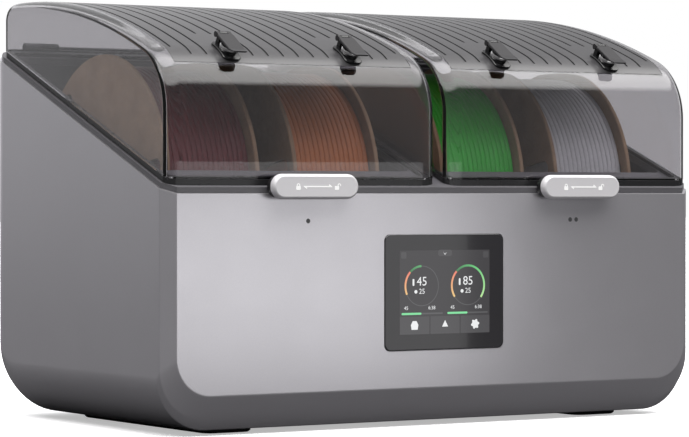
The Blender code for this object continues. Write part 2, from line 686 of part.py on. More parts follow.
def make_deck():
    """Sloping top frame: a low edge all round, a raised step under each lid and two openings."""
    frame = loft([deck_plan(FIT), deck_plan(DECK_TOP)])
    steps = [loft([lid_plan(side, RIM_INSET, DECK_TOP - 0.001), lid_plan(side, RIM_INSET, STEP_TOP)])
             for side in SIDES.values()]
    openings = [loft([opening_plan(side, -0.01), opening_plan(side, 0.02)]) for side in SIDES.values()]
    webs = []
    barrels = []
    for side in SIDES.values():
        for ends in knuckle_ends(side, 0):
            bottom = deck(HINGE_Y, DECK_TOP - 0.002)
            webs.append(box(ends, widened((HINGE_Y, HINGE_Y), 0.0022), (bottom, HINGE_Z)))
            barrels.append(knuckle(widened(ends, 0.00002)))
    frame = fused(cut(fused(frame, joined(steps)), joined(openings)), joined(webs), joined(barrels))
    holes = [pin_hole(side) for side in SIDES.values()]
    add("deck_frame", cut(frame, joined(holes)), DARK_TRIM)


def make_seal(name, side):
    inner = RIM_INSET + 0.0006 + SEAL_WIDTH
    low = STEP_TOP + FIT
    rings = [lid_plan(side, RIM_INSET + 0.0006, low), lid_plan(side, RIM_INSET + 0.0006, SEAL_TOP),
             lid_plan(side, inner, SEAL_TOP), lid_plan(side, inner, low)]
    add("deck_seal_" + name, loft(rings, closed=True), RUBBER)


# ---------------------------------------------------------------- lids
def roof(inset, start, end, steps, centre, radius):
    return arc(centre, (radius - inset, radius - inset), start, end, steps)


def lid_profile(inset, below):
    """Side view of a lid from its front foot over the roof to its rear foot."""
    points = roof(inset, math.pi, NOSE_END, 5, NOSE_CENTRE, NOSE_RADIUS)
    points += roof(inset, NOSE_END, TAIL_START, 6, CROWN_CENTRE, CROWN_RADIUS)[1:]
    points += roof(inset, TAIL_START, 0, 3, TAIL_CENTRE, TAIL_RADIUS)[1:]
    front = LID_FRONT + inset
    rear = LID_REAR - inset
    return [(front, deck(front, LID_BASE - below))] + points + [(rear, deck(rear, LID_BASE - below))]


def lid_solid(side, inset, below):
    """A lid's shape drawn in by inset, with its side edges rounded."""
    half = LID_HALF - inset
    across = LID_EDGE[0] - inset
    inwards = LID_EDGE[1] - inset
    steps = 3
    left = []
    for k in range(steps + 1):
        angle = math.pi / 2 * k / steps
        at = -half + across * (1 - math.cos(angle))
        left.append((at, inset + inwards * (1 - math.sin(angle))))
    stations = left + [(-at, drawn) for at, drawn in reversed(left)]
    middle = side * LID_CENTRE
    return loft([place(lid_profile(drawn, below), "X", middle + at) for at, drawn in stations])


PANEL_HALF = LID_HALF - LID_EDGE[0] - 0.001
PANEL_REAR = (NOSE_END - TAIL_START) * CROWN_RADIUS - 0.0038


def roof_line(inset, start, end):
    """The roof between two distances behind the nose's end; a negative one lies on the nose."""
    points = []
    if start < 0:
        nose_stop = NOSE_END - min(end, 0) / NOSE_RADIUS
        points = roof(inset, NOSE_END - start / NOSE_RADIUS, nose_stop, 3, NOSE_CENTRE, NOSE_RADIUS)
    if end > 0:
        crown = NOSE_END - max(start, 0) / CROWN_RADIUS
        far = NOSE_END - end / CROWN_RADIUS
        steps = 6 if end > 0.1 else 1
        points = points[:-1] + roof(inset, crown, far, steps, CROWN_CENTRE, CROWN_RADIUS)
    return points


def roof_slab(middle, half, top, bottom, start, end):
    """A curved slab that follows the roof between two insets and two distances."""
    outline = roof_line(top, start, end) + roof_line(bottom, start, end)[::-1]
    return prism(outline, "X", middle - half, middle + half)


OUTLET_TURN = NOSE_END - OUTLET_PLACE / NOSE_RADIUS
OUTLET_Y = NOSE_CENTRE[0] + NOSE_RADIUS * math.cos(OUTLET_TURN)
OUTLET_Z = NOSE_CENTRE[1] + NOSE_RADIUS * math.sin(OUTLET_TURN)
OUTLET_TILT = OUTLET_TURN - math.pi / 2
CAP_AXIS = (0.0125, 0.0070)     # cap's hinge in the outlet's own frame: back, up
RING_RADIUS = 0.0065
KNOB = 0.0021             # radius of the cap's hinge barrel and ears
CAP_REACH = 0.0125        # cap's front edge ahead of the bore


def outlet_frame(x):
    """Places an outlet's own coordinates (across, back, out of the roof) on the roof."""
    return Matrix.Translation((x, OUTLET_Y, OUTLET_Z)) @ Matrix.Rotation(OUTLET_TILT, 4, "X")


def make_lid_panel(name, side, parent):
    """Ribbed smoke-grey roof panel, on a ledge in the lid's roof."""
    middle = side * LID_CENTRE
    panel = roof_slab(middle, PANEL_HALF - FIT, 0, PANEL_THICK, PANEL_FRONT + FIT, PANEL_REAR - FIT)
    count = int(PANEL_HALF / GROOVE_PITCH)
    grooves = []
    for k in range(-count, count + 1):
        x = (k + 0.5) * GROOVE_PITCH
        if abs(x) > PANEL_HALF - 0.004:
            continue
        start = GROOVE_START
        if abs(x) + GROOVE_PITCH > PANEL_HALF - 0.004:
            start = GROOVE_START + GROOVE_OUTER
        if abs(abs(x) - OUTLET_SPREAD) < GROOVE_PITCH:
            start = GROOVE_AT_CAP
        groove = roof_slab(middle + x, GROOVE_WIDTH / 2, -0.002, GROOVE_DEEP, start, PANEL_REAR - 0.006)
        grooves.append(groove)
    bores = []
    for end in (-1, 1):
        hole = prism(circle((0, 0), RING_RADIUS + FIT, 16), "Z", -0.01, 0.01)
        bores.append(moved(hole, outlet_frame(middle + end * OUTLET_SPREAD)))
    add("lid_panel_" + name, cut(panel, joined(grooves), joined(bores)), SMOKE_PANEL, HINGE[name], parent)


def make_outlet(number, x, origin, parent):
    """Filament outlet: a base plate with a guide ring and a hinge post, under a flip-up cap."""
    back, up = CAP_AXIS
    frame = outlet_frame(x)
    base = roof_slab(x, 0.0075, -0.0018, -FIT, OUTLET_PLACE - 0.0105, OUTLET_PLACE + 0.0145)
    ring = turned([(RING_RADIUS, -0.0040), (RING_RADIUS, 0.0052), (RING_RADIUS - 0.0006, 0.0058)],
                  "Z", (0, 0), 14, False)
    post_side = [(back - 0.003, -0.0006), (back + 0.0015, -0.0006), (back + 0.0018, up), (back - 0.0018, up)]
    post = prism(post_side, "X", -0.0028, 0.0028)
    barrel = prism(circle((back, up), KNOB, 12), "X", -0.0029, 0.0029)
    bore = prism(circle((0, 0), OUTLET_BORE, 12), "Z", -0.01, 0.02)
    pin_hole = prism(circle((back, up), 0.0010 + FIT, 8), "X", -0.01, 0.01)
    tower = moved(fused(ring, post, barrel), frame)
    outlet = cut(fused(base, tower), moved(bore, frame), moved(pin_hole, frame))
    add("outlet_%d" % number, outlet, BLACK_PLASTIC, origin, parent)

    top = up + 0.0022
    thick = 0.0020
    plate_back = back - KNOB - 0.0006
    plate_middle = (plate_back - CAP_REACH) / 2
    plate_size = (0.0130, plate_back + CAP_REACH)
    plate = prism(rounded((0, plate_middle), plate_size, 0.0025, 2), "Z", top - thick, top)
    lip_side = [(-0.0110, top - 0.0018), (-0.0165, top + 0.0002),
                (-0.0165, top + 0.0016), (-0.0110, top - 0.0002)]
    lip = prism(lip_side, "X", -0.0058, 0.0058)
    plug_side = [(OUTLET_BORE - 0.0006, 0.0030), (OUTLET_BORE - FIT, 0.0040),
                 (OUTLET_BORE - FIT, top - 0.001)]
    plug = turned(plug_side, "Z", (0, 0), 16, False)
    ears = []
    for end in (-1, 1):
        ear = circle((back, up), KNOB, 12)
        near = end * 0.0033
        far = end * 0.0058
        ears.append(prism(ear, "X", min(near, far), max(near, far)))
    tabs = []
    for end in (-1, 1):
        near = end * 0.0035
        far = end * 0.0057
        tabs.append(box((min(near, far), max(near, far)), (0.009, back), (up, top - 0.0002)))
    pin = prism(circle((back, up), 0.0010, 8), "X", -0.0050, 0.0050)
    cap = fused(plate, lip, plug, joined(tabs), joined(ears), pin)
    hinge = frame @ Vector((0, back, up))
    add("outlet_cap_%d" % number, moved(cap, frame), BLACK_PLASTIC, hinge, parent)


def stadium(middle, inset):
    size = (LATCH_SIZE[0] - 2 * inset, LATCH_SIZE[1] - 2 * inset)
    radius = size[1] / 2 - 0.00001
    return rounded(middle, size, radius, 5)


TONGUE = (LATCH_TOP - 0.0063, LATCH_TOP - 0.0043)   # over the front face's top edge, like LATCH_TOP


def make_latch(name, side, parent):
    """Pill-shaped slider that runs on the tongue of the lid's rim."""
    x = side * LID_CENTRE
    middle = (x, FRONT_TOP + LATCH_TOP - LATCH_SIZE[1] / 2)
    soft = 0.0014
    front = -LATCH_PROUD
    outline = stadium(middle, 0)
    foot = stadium(middle, LATCH_STEP)
    rings = [place(stadium(middle, soft), "Y", front),
             place(stadium(middle, soft * 0.3), "Y", front + soft * 0.35),
             place(outline, "Y", front + soft), place(outline, "Y", LATCH_BACK),
             place(foot, "Y", LATCH_BACK), place(foot, "Y", -0.0006)]
    pocket = box((x - TONGUE_HALF - LATCH_TRAVEL - FIT, x + TONGUE_HALF + FIT), (-0.0050, 0.01),
                 (FRONT_TOP + TONGUE[0] - FIT, FRONT_TOP + TONGUE[1] + FIT))
    origin = (x, -LATCH_PROUD / 2, middle[1])
    add("latch_slider_" + name, cut(loft(rings), pocket), LATCH_GREY, origin, parent)


def make_lid_rim(name, side, parent):
    """Black frame bonded under the lid: it carries the latch tongue and the hinge knuckles."""
    low = SEAL_TOP + FIT
    skirt = DECK_TOP + FIT
    inner = LID_WALL + 0.0035
    step = RIM_INSET - 0.0006
    rings = [lid_plan(side, 0.0002, skirt), lid_plan(side, 0.0002, RIM_TOP), lid_plan(side, inner, RIM_TOP),
             lid_plan(side, inner, low), lid_plan(side, step, low), lid_plan(side, step, skirt)]
    rim = loft(rings, closed=True)
    x = side * LID_CENTRE
    tongue = box((x - TONGUE_HALF, x + TONGUE_HALF), (-0.0047, LID_FRONT + RIM_INSET - FIT),
                 (FRONT_TOP + TONGUE[0], FRONT_TOP + TONGUE[1]))
    webs = []
    barrels = []
    for ends in knuckle_ends(side, -KNUCKLE_LENGTH):
        web = [(x, y, deck(y, above)) for x in ends for y, above in
               ((LID_REAR - 0.004, low + 0.0001), (LID_REAR - 0.004, RIM_TOP - 0.0001),
                (HINGE_Y, RIM_TOP - 0.0001), (HINGE_Y, low + 0.0001))]
        webs.append(loft([web[:4], web[4:]]))
        barrels.append(knuckle(widened(ends, 0.00002)))
    rim = cut(fused(rim, tongue, joined(webs), joined(barrels)), pin_hole(side))
    add("lid_rim_" + name, rim, BLACK_PLASTIC, HINGE[name], parent)


def make_lid(name, side):
    """One lid: clear shell, roof panel, rim, outlets, caps and latch, all on the hinge's empty."""
    parent = bpy.data.objects.new("lid_hinge_" + name, None)
    bpy.context.collection.objects.link(parent)
    parent.parent = box_frame
    parent.location = HINGE[name]
    shell = cut(lid_solid(side, 0, 0), lid_solid(side, LID_WALL, 0.01))
    middle = side * LID_CENTRE
    seat = roof_slab(middle, PANEL_HALF, -0.004, PANEL_THICK + FIT, PANEL_FRONT, PANEL_REAR)
    window = roof_slab(middle, PANEL_HALF - PANEL_LEDGE, -0.004, 0.009,
                       PANEL_FRONT + PANEL_LEDGE, PANEL_REAR - PANEL_LEDGE)
    add("lid_shell_" + name, cut(shell, seat, window), SMOKE_CLEAR, HINGE[name], parent)
    make_lid_panel(name, side, parent)
    make_lid_rim(name, side, parent)
    make_latch(name, side, parent)
    first = 1 if side < 0 else 3
    for number, end in ((first, -1), (first + 1, 1)):
        make_outlet(number, middle + end * OUTLET_SPREAD, HINGE[name], parent)
    reach = HINGE_SPREAD + KNUCKLE_LENGTH - 0.001
    pin = prism(circle((HINGE_Y, HINGE_Z), PIN_RADIUS, 10), "X", middle - reach, middle + reach)
    add("hinge_pin_" + name, pin, STEEL, HINGE[name])


HINGE = {name: (side * LID_CENTRE, HINGE_Y, HINGE_Z) for name, side in SIDES.items()}

# ---------------------------------------------------------------- build
make_outer_shell()
make_rear_cover()
make_base_plate()
make_feet()
make_screen()
make_control_board()
make_power_parts()
make_deck()
for side_name, side_sign in SIDES.items():
    make_air_parts(side_name, side_sign)
    make_chamber(side_name, side_sign)
    make_rollers(side_name, side_sign)
    make_seal(side_name, side_sign)
    make_lid(side_name, side_sign)
for index in range(4):
    lid = -1 if index < 2 else 1
    end_sign = -1 if index % 2 == 0 else 1
    make_spool(index + 1, lid * LID_CENTRE + end_sign * SPOOL_PITCH / 2)
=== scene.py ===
"""The looks of the filament dryer box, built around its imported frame."""

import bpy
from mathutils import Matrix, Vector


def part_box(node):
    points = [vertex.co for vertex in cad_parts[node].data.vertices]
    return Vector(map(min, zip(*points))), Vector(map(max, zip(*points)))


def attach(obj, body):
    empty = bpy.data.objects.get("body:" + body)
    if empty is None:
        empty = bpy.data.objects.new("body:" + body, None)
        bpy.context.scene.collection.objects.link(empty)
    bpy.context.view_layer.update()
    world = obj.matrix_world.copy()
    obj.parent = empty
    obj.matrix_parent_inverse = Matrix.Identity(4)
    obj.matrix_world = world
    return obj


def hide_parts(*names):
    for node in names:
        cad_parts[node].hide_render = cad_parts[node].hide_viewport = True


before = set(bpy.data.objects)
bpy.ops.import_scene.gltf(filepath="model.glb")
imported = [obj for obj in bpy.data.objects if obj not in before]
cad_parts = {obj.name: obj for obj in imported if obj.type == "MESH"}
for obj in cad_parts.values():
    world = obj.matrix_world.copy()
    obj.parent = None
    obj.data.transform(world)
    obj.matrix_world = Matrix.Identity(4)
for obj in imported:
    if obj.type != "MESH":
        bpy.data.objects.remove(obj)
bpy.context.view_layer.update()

import math

import bmesh
import bpy
from mathutils import Matrix, Vector

# ---- Studio: a long lens off the left front corner, level with the housing's top edge.
# A wide soft light hangs overhead; a pale wall with darker stretches stands round a white floor.
front_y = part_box("outer_shell")[0][1]
rear_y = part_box("outer_shell")[1][1]
front_top = 0.167
lens = bpy.data.cameras.new("camera")
lens.sensor_width = 36
lens.lens = 153.8
camera = bpy.data.objects.new("camera", lens)
bpy.context.collection.objects.link(camera)
camera.location = (-1.192, front_y - 1.749, front_top)
camera.rotation_euler = Vector((0.5348, 0.8450, -0.0084)).to_track_quat("-Z", "Y").to_euler()
bpy.context.scene.camera = camera
bpy.context.scene.view_settings.view_transform = "Standard"

floor_mesh = bpy.data.meshes.new("floor")
reach = 14
floor_mesh.from_pydata([(-reach, -reach, 0), (reach, -reach, 0), (reach, reach, 0), (-reach, reach, 0)],
                       [], [(0, 1, 2, 3)])
floor = bpy.data.objects.new("floor", floor_mesh)
bpy.context.collection.objects.link(floor)
floor_paint = bpy.data.materials.new("studio_floor")
floor_paint.use_nodes = True
tree = floor_paint.node_tree
floor_shader = tree.nodes["Principled BSDF"]
floor_shader.inputs["Base Color"].default_value = (0.86, 0.86, 0.87, 1)
floor_shader.inputs["Roughness"].default_value = 0.8
floor_shader.inputs["Specular IOR Level"].default_value = 0.0
floor_shader.inputs["Emission Color"].default_value = (1, 1, 1, 1)
floor_shader.inputs["Emission Strength"].default_value = 0.45
shaded = tree.nodes.new("ShaderNodeBsdfDiffuse")
shaded.inputs["Color"].default_value = (0.06, 0.06, 0.062, 1)
seen = tree.nodes.new("ShaderNodeLightPath")
swap = tree.nodes.new("ShaderNodeMixShader")
tree.links.new(seen.outputs["Is Camera Ray"], swap.inputs["Fac"])
tree.links.new(shaded.outputs[0], swap.inputs[1])
tree.links.new(floor_shader.outputs[0], swap.inputs[2])
tree.links.new(swap.outputs[0], tree.nodes["Material Output"].inputs["Surface"])
floor_mesh.materials.append(floor_paint)


def wired(tree, kind, *sources, **settings):
    """Adds a node and feeds its sockets in order from sockets, colours or numbers."""
    node = tree.nodes.new("ShaderNode" + kind)
    for label, value in settings.items():
        setattr(node, label, value)
    for index, source in enumerate(sources):
        if isinstance(source, bpy.types.NodeSocket):
            tree.links.new(source, node.inputs[index])
        elif source is not None:
            node.inputs[index].default_value = source
    return node


world = bpy.data.worlds.new("studio")
world.use_nodes = True
tree = world.node_tree
heading = wired(tree, "SeparateXYZ", tree.nodes.new("ShaderNodeTexCoord").outputs["Generated"])
forward = wired(tree, "Math", heading.outputs["Y"], -1.0, operation="MULTIPLY")
round_wall = wired(tree, "Math", heading.outputs["X"], forward.outputs[0], operation="ARCTAN2")
share = wired(tree, "Math", round_wall.outputs[0], 1 / (2 * math.pi), 0.5, operation="MULTIPLY_ADD")
wall_light = wired(tree, "ValToRGB", share.outputs[0])
stops = wall_light.color_ramp.elements
wall_stops = ((0.0, 0.50), (0.07, 0.30), (0.10, 0.17), (0.25, 0.14), (0.35, 0.14), (0.47, 0.12), (0.55, 0.12),
              (0.592, 0.12), (0.618, 0.08), (0.75, 0.08), (0.88, 0.20), (0.925, 0.50))
stops[0].position, stops[1].position = wall_stops[0][0], 1.0
for position, level in wall_stops[1:]:
    stops.new(position)
for stop, (position, level) in zip(stops, wall_stops + ((1.0, 0.60),)):
    stop.position = position
    stop.color = (level, level, level * 1.02, 1)
high = wired(tree, "MapRange", heading.outputs["Z"], 0.60, 0.68, 0.0, 1.0)
ahead = wired(tree, "MapRange", heading.outputs["Y"], 0.22, -0.02, 0.10, 1.0)
overhead = wired(tree, "Math", high.outputs[0], ahead.outputs[0], operation="MULTIPLY")
around = wired(tree, "Background", wall_light.outputs[0], 1.6)
above = wired(tree, "Background", (1.0, 0.99, 0.98, 1), 5.5)
lights = wired(tree, "MixShader", overhead.outputs[0], around.outputs[0], above.outputs[0])
sight = wired(tree, "Background", (1, 1, 1, 1), 1.0)
rays = tree.nodes.new("ShaderNodeLightPath")
direct = wired(tree, "Math", rays.outputs["Is Camera Ray"], rays.outputs["Is Transmission Ray"],
               operation="MAXIMUM")
choice = wired(tree, "MixShader", direct.outputs[0], lights.outputs[0], sight.outputs[0])
tree.links.new(choice.outputs[0], tree.nodes["World Output"].inputs["Surface"])
bpy.context.scene.world = world
strip_lamp = bpy.data.lights.new("strip_softbox", "AREA")
strip_lamp.shape = "RECTANGLE"
strip_lamp.size = 0.42
strip_lamp.size_y = 0.20
strip_lamp.energy = 0.25
strip_box = bpy.data.objects.new("strip_softbox", strip_lamp)
bpy.context.collection.objects.link(strip_box)
strip_box.location = (0.078, front_y - 0.43, 0.095)
strip_box.rotation_euler = Vector((-0.25, 1, 0)).to_track_quat("-Z", "Y").to_euler()


# ---- Housing: one satin metallic-grey moulding round the front, sides and back, 3 mm thick.
# Its front edges are chamfered, its lower corners are large radii, and the screen sits in a rebate.
half_width = 0.2285
depth = rear_y - front_y
deck_slope = 0.389
wall = 0.003
base = 0.0040
side_chamfer = 0.0085
foot_chamfer = (0.013, 0.024)
lower_corner = 0.038
rear_corner = 0.036
rear_edge = 0.0137
screen_middle = front_top - 0.0705
bezel_size = (0.103, 0.083)
display_size = (0.084, 0.066)
rebate = 0.0017


def deck(back, above=0.0):
    """Height of the housing's sloping edge at a depth behind the front face."""
    return front_top + deck_slope * back + above


def solid(rings, closed=False):
    """A mesh through matching outlines, capped at both ends or closed back on itself."""
    bm = bmesh.new()
    loops = [[bm.verts.new(point) for point in ring] for ring in rings]
    pairs = list(zip(loops, loops[1:]))
    if closed:
        pairs.append((loops[-1], loops[0]))
    for near, far in pairs:
        for i in range(len(near)):
            j = (i + 1) % len(near)
            bm.faces.new((near[i], near[j], far[j], far[i]))
    if not closed:
        bm.faces.new(loops[0])
        bm.faces.new(loops[-1][::-1])
    return as_mesh(bm)


def as_mesh(bm):
    bmesh.ops.recalc_face_normals(bm, faces=bm.faces)
    mesh = bpy.data.meshes.new("shape")
    bm.to_mesh(mesh)
    bm.free()
    return mesh


def across(outline, axis, at):
    """A flat outline set across an axis: (y, z) for X, (x, z) for Y and (x, y) for Z."""
    if axis == "X":
        return [(at, u, v) for u, v in outline]
    if axis == "Y":
        return [(u, at, v) for u, v in outline]
    return [(u, v, at) for u, v in outline]


def bar(outline, axis, low, high):
    return solid([across(outline, axis, low), across(outline, axis, high)])


def block(x, y, z):
    return bar([(x[0], y[0]), (x[1], y[0]), (x[1], y[1]), (x[0], y[1])], "Z", *z)


def bend(centre, radii, start, end, steps):
    turns = [start + (end - start) * k / steps for k in range(steps + 1)]
    return [(centre[0] + radii[0] * math.cos(t), centre[1] + radii[1] * math.sin(t)) for t in turns]


def soft_rectangle(centre, size, corner, steps=8):
    rx, ry = corner if isinstance(corner, tuple) else (corner, corner)
    points = []
    for quarter, (sx, sy) in enumerate(((1, 1), (-1, 1), (-1, -1), (1, -1))):
        turn = quarter * math.pi / 2
        middle = (centre[0] + sx * (size[0] / 2 - rx), centre[1] + sy * (size[1] / 2 - ry))
        points += bend(middle, (rx, ry), turn, turn + math.pi / 2, steps)
    return points


def ring_of(centre, radius, sides):
    return bend(centre, (radius, radius), 0, 2 * math.pi * (sides - 1) / sides, sides - 1)


def eased(path, radius, steps=3):
    """A path of equal-length tuples with each inner corner rounded."""
    rounded = [path[0]]
    for before, here, after in zip(path, path[1:], path[2:]):
        arms = []
        for other in (before, after):
            length = math.dist(here[:3], other[:3])
            share = min(0.5, radius / length)
            arms.append([a + (b - a) * share for a, b in zip(here, other)])
        for k in range(steps + 1):
            t = k / steps
            rounded.append(tuple((1 - t) ** 2 * a + 2 * t * (1 - t) * h + t ** 2 * b
                                 for a, h, b in zip(arms[0], here, arms[1])))
    return rounded + [path[-1]]


def gather(meshes):
    bm = bmesh.new()
    for mesh in meshes:
        bm.from_mesh(mesh)
    return as_mesh(bm)


def carve(mesh, *tools, way="DIFFERENCE"):
    """Cuts tools from a mesh, or joins them to it, one after the other."""
    for tool in tools:
        body = bpy.data.objects.new("body", mesh)
        other = bpy.data.objects.new("tool", tool)
        for item in (body, other):
            bpy.context.collection.objects.link(item)
        step = body.modifiers.new("carve", "BOOLEAN")
        step.operation = way
        step.solver = "EXACT"
        step.object = other
        graph = bpy.context.evaluated_depsgraph_get()
        mesh = bpy.data.meshes.new_from_object(body.evaluated_get(graph))
        for item in (body, other):
            bpy.data.objects.remove(item, do_unlink=True)
    bm = bmesh.new()
    bm.from_mesh(mesh)
    bmesh.ops.remove_doubles(bm, verts=bm.verts, dist=0.00001)
    bmesh.ops.dissolve_degenerate(bm, edges=bm.edges, dist=0.00001)
    return as_mesh(bm)


def fit(name, mesh, finish, body, stands_for=None, crease=32, at=None):
    """Puts a piece drawn in box coordinates on its body, with its finish."""
    piece = bpy.data.objects.new(name, mesh)
    mesh.name = name
    mesh.materials.clear()
    mesh.materials.append(finish)
    if at is None:
        mesh.transform(Matrix.Translation((0, front_y, 0)))
    else:
        piece.location = (at[0], at[1] + front_y, at[2])
    mesh.shade_smooth()
    mesh.set_sharp_from_angle(angle=math.radians(crease))
    even = piece.modifiers.new("even_normals", "WEIGHTED_NORMAL")
    even.keep_sharp = True
    bpy.context.collection.objects.link(piece)
    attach(piece, body)
    if stands_for:
        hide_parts(stands_for)
    return piece


def node_group(name, inputs, outputs):
    """An empty shader node group with named sockets; returns it with its two end nodes."""
    group = bpy.data.node_groups.new(name, "ShaderNodeTree")
    for label, kind, value in inputs:
        socket = group.interface.new_socket(label, in_out="INPUT", socket_type=kind)
        socket.default_value = value
    for label, kind in outputs:
        group.interface.new_socket(label, in_out="OUTPUT", socket_type=kind)
    return group, group.nodes.new("NodeGroupInput"), group.nodes.new("NodeGroupOutput")


def put_node(tree, kind, links=(), **settings):
    """Adds a node: settings are its properties, or its sockets where the name starts with a capital."""
    node = tree.nodes.new("ShaderNode" + kind)
    for label, value in settings.items():
        label = label.replace("_", " ") if label[0].isupper() else label
        if label[0].isupper() or label.isdigit():
            node.inputs[label].default_value = value
        else:
            setattr(node, label, value)
    for source, target in links:
        tree.links.new(source, node.inputs[target])
    return node


def calc(tree, operation, first, second):
    """A Math node; each side is a number or a socket."""
    node = tree.nodes.new("ShaderNodeMath")
    node.operation = operation
    for index, side in enumerate((first, second)):
        if isinstance(side, (int, float)):
            node.inputs[index].default_value = side
        else:
            tree.links.new(side, node.inputs[index])
    return node.outputs[0]


def tinted(tree, colour, factor):
    """A colour multiplied by a grey factor."""
    node = tree.nodes.new("ShaderNodeVectorMath")
    node.operation = "SCALE"
    tree.links.new(colour, node.inputs[0])
    tree.links.new(factor, node.inputs["Scale"])
    return node.outputs[0]


FLOAT, COLOUR = "NodeSocketFloat", "NodeSocketColor"
moulded, ends_in, ends_out = node_group("moulded_surface", [
    ("Colour", COLOUR, (0.3, 0.3, 0.3, 1)), ("Roughness", FLOAT, 0.4), ("Grain", FLOAT, 0.05),
    ("Grain Size", FLOAT, 0.0006), ("Smudge", FLOAT, 0.05)],
    [("Colour", COLOUR), ("Roughness", FLOAT), ("Height", FLOAT)])
spot = put_node(moulded, "TexCoord").outputs["Object"]
fineness = calc(moulded, "DIVIDE", 1.0, ends_in.outputs["Grain Size"])
grains = put_node(moulded, "TexNoise", [(spot, "Vector"), (fineness, "Scale")], Detail=3.0, Roughness=0.6)
cells = put_node(moulded, "TexVoronoi", [(spot, "Vector"), (fineness, "Scale")])
patches = put_node(moulded, "TexNoise", [(spot, "Vector")], Scale=9.0, Detail=4.0, Roughness=0.55)
grip = put_node(moulded, "TexNoise", [(spot, "Vector")], Scale=34.0, Detail=5.0, Roughness=0.65,
                Distortion=0.6)
fine = calc(moulded, "MULTIPLY", calc(moulded, "SUBTRACT", grains.outputs["Fac"], 0.5),
            ends_in.outputs["Grain"])
broad = calc(moulded, "MULTIPLY", calc(moulded, "SUBTRACT", patches.outputs["Fac"], 0.5), 0.06)
tone = calc(moulded, "ADD", calc(moulded, "ADD", fine, broad), 1.0)
moulded.links.new(tinted(moulded, ends_in.outputs["Colour"], tone), ends_out.inputs["Colour"])
worn = calc(moulded, "MULTIPLY", calc(moulded, "SUBTRACT", grip.outputs["Fac"], 0.5),
            ends_in.outputs["Smudge"])
moulded.links.new(calc(moulded, "ADD", worn, ends_in.outputs["Roughness"]), ends_out.inputs["Roughness"])
relief = calc(moulded, "ADD", grains.outputs["Fac"], cells.outputs["Distance"])
moulded.links.new(relief, ends_out.inputs["Height"])


def moulding(name, colour, rough, grain=0.06, size=0.0006, smudge=0.08, bump=0.05, **extra):
    """A moulded plastic or rubber finish from the moulded_surface group."""
    finish = bpy.data.materials.new(name)
    finish.use_nodes = True
    tree = finish.node_tree
    shader = tree.nodes["Principled BSDF"]
    surface = tree.nodes.new("ShaderNodeGroup")
    surface.node_tree = moulded
    surface.inputs["Colour"].default_value = (*colour, 1)
    surface.inputs["Roughness"].default_value = rough
    surface.inputs["Grain"].default_value = grain
    surface.inputs["Grain Size"].default_value = size
    surface.inputs["Smudge"].default_value = smudge
    relief = put_node(tree, "Bump", [(surface.outputs["Height"], "Height")], Strength=bump, Distance=size / 3)
    tree.links.new(surface.outputs["Colour"], shader.inputs["Base Color"])
    tree.links.new(surface.outputs["Roughness"], shader.inputs["Roughness"])
    tree.links.new(relief.outputs[0], shader.inputs["Normal"])
    for label, value in extra.items():
        shader.inputs[label.replace("_", " ")].default_value = value
    return finish


housing_grey = moulding("housing_grey", (0.66, 0.645, 0.68), 0.30, grain=0.10, size=0.0007, bump=0.06,
                        Metallic=0.85)


def housing_solid(inset, above, steps):
    share = side_chamfer / foot_chamfer[0]
    lip = 0.0011
    path = [(inset, half_width - side_chamfer - lip, foot_chamfer[1] + lip, lower_corner - 0.012),
            (inset, half_width - side_chamfer, foot_chamfer[1], lower_corner - 0.011),
            (side_chamfer + inset / 2, half_width, foot_chamfer[1] * (1 - share), lower_corner - 0.004),
            (foot_chamfer[0] + inset / 2, half_width, 0, lower_corner),
            (depth - rear_corner, half_width, 0, lower_corner)]
    stations = eased(path, 0.0012) if inset == 0 else path
    radius = rear_corner - inset
    for k in range(1, steps + 1):
        angle = math.pi / 2 * k / steps
        back = depth - inset - radius * (1 - math.sin(angle))
        past = min(1.0, max(0.0, (back - (depth - rear_edge)) / rear_edge))
        half = half_width - rear_edge * (1 - math.sqrt(1 - past ** 2))
        stations.append((back, half, radius * (1 - math.cos(angle)), lower_corner))
    rings = []
    for back, half, lift, corner in stations:
        half -= inset
        corner -= inset
        right = bend((half - corner, base + inset + lift + corner), (corner, corner), 0, -math.pi / 2, steps)
        top = deck(back, above)
        outline = [(half, top)] + right + [(-x, z) for x, z in right[::-1]] + [(-half, top)]
        rings.append(across(outline, "Y", back))
    return solid(rings)


def on_screen(size, grow, corner):
    return soft_rectangle((0, screen_middle), (size[0] + 2 * grow, size[1] + 2 * grow), corner)


def box_of(node, grow=0.0):
    """A CAD node's box in box coordinates, as (low, high) pairs."""
    low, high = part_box(node)
    return [(low[0] - grow, high[0] + grow), (low[1] - front_y - grow, high[1] - front_y + grow),
            (low[2] - grow, high[2] + grow)]


gap = 0.0003
plate_box = box_of("base_plate", gap)
cover_box = box_of("rear_cover", gap)
ledge = 0.006
far = 0.02
shell = carve(housing_solid(0, 0, 14), housing_solid(wall, 0.02, 8),
              bar(on_screen(bezel_size, gap, 0.005), "Y", -far, rebate),
              bar(on_screen(display_size, gap, 0.002), "Y", -far, far),
              block(plate_box[0], plate_box[1], (base - far, base + rebate)),
              block([plate_box[0][0] + ledge, plate_box[0][1] - ledge],
                    [plate_box[1][0] + ledge, plate_box[1][1] - ledge], (base - far, base + far / 2)),
              block(cover_box[0], (depth - rebate, depth + far), cover_box[2]),
              block([cover_box[0][0] + ledge, cover_box[0][1] - ledge], (depth - far / 2, depth + far),
                    [cover_box[2][0] + ledge, cover_box[2][1] - ledge]))
fit("housing", shell, housing_grey, "box", "outer_shell", crease=20)


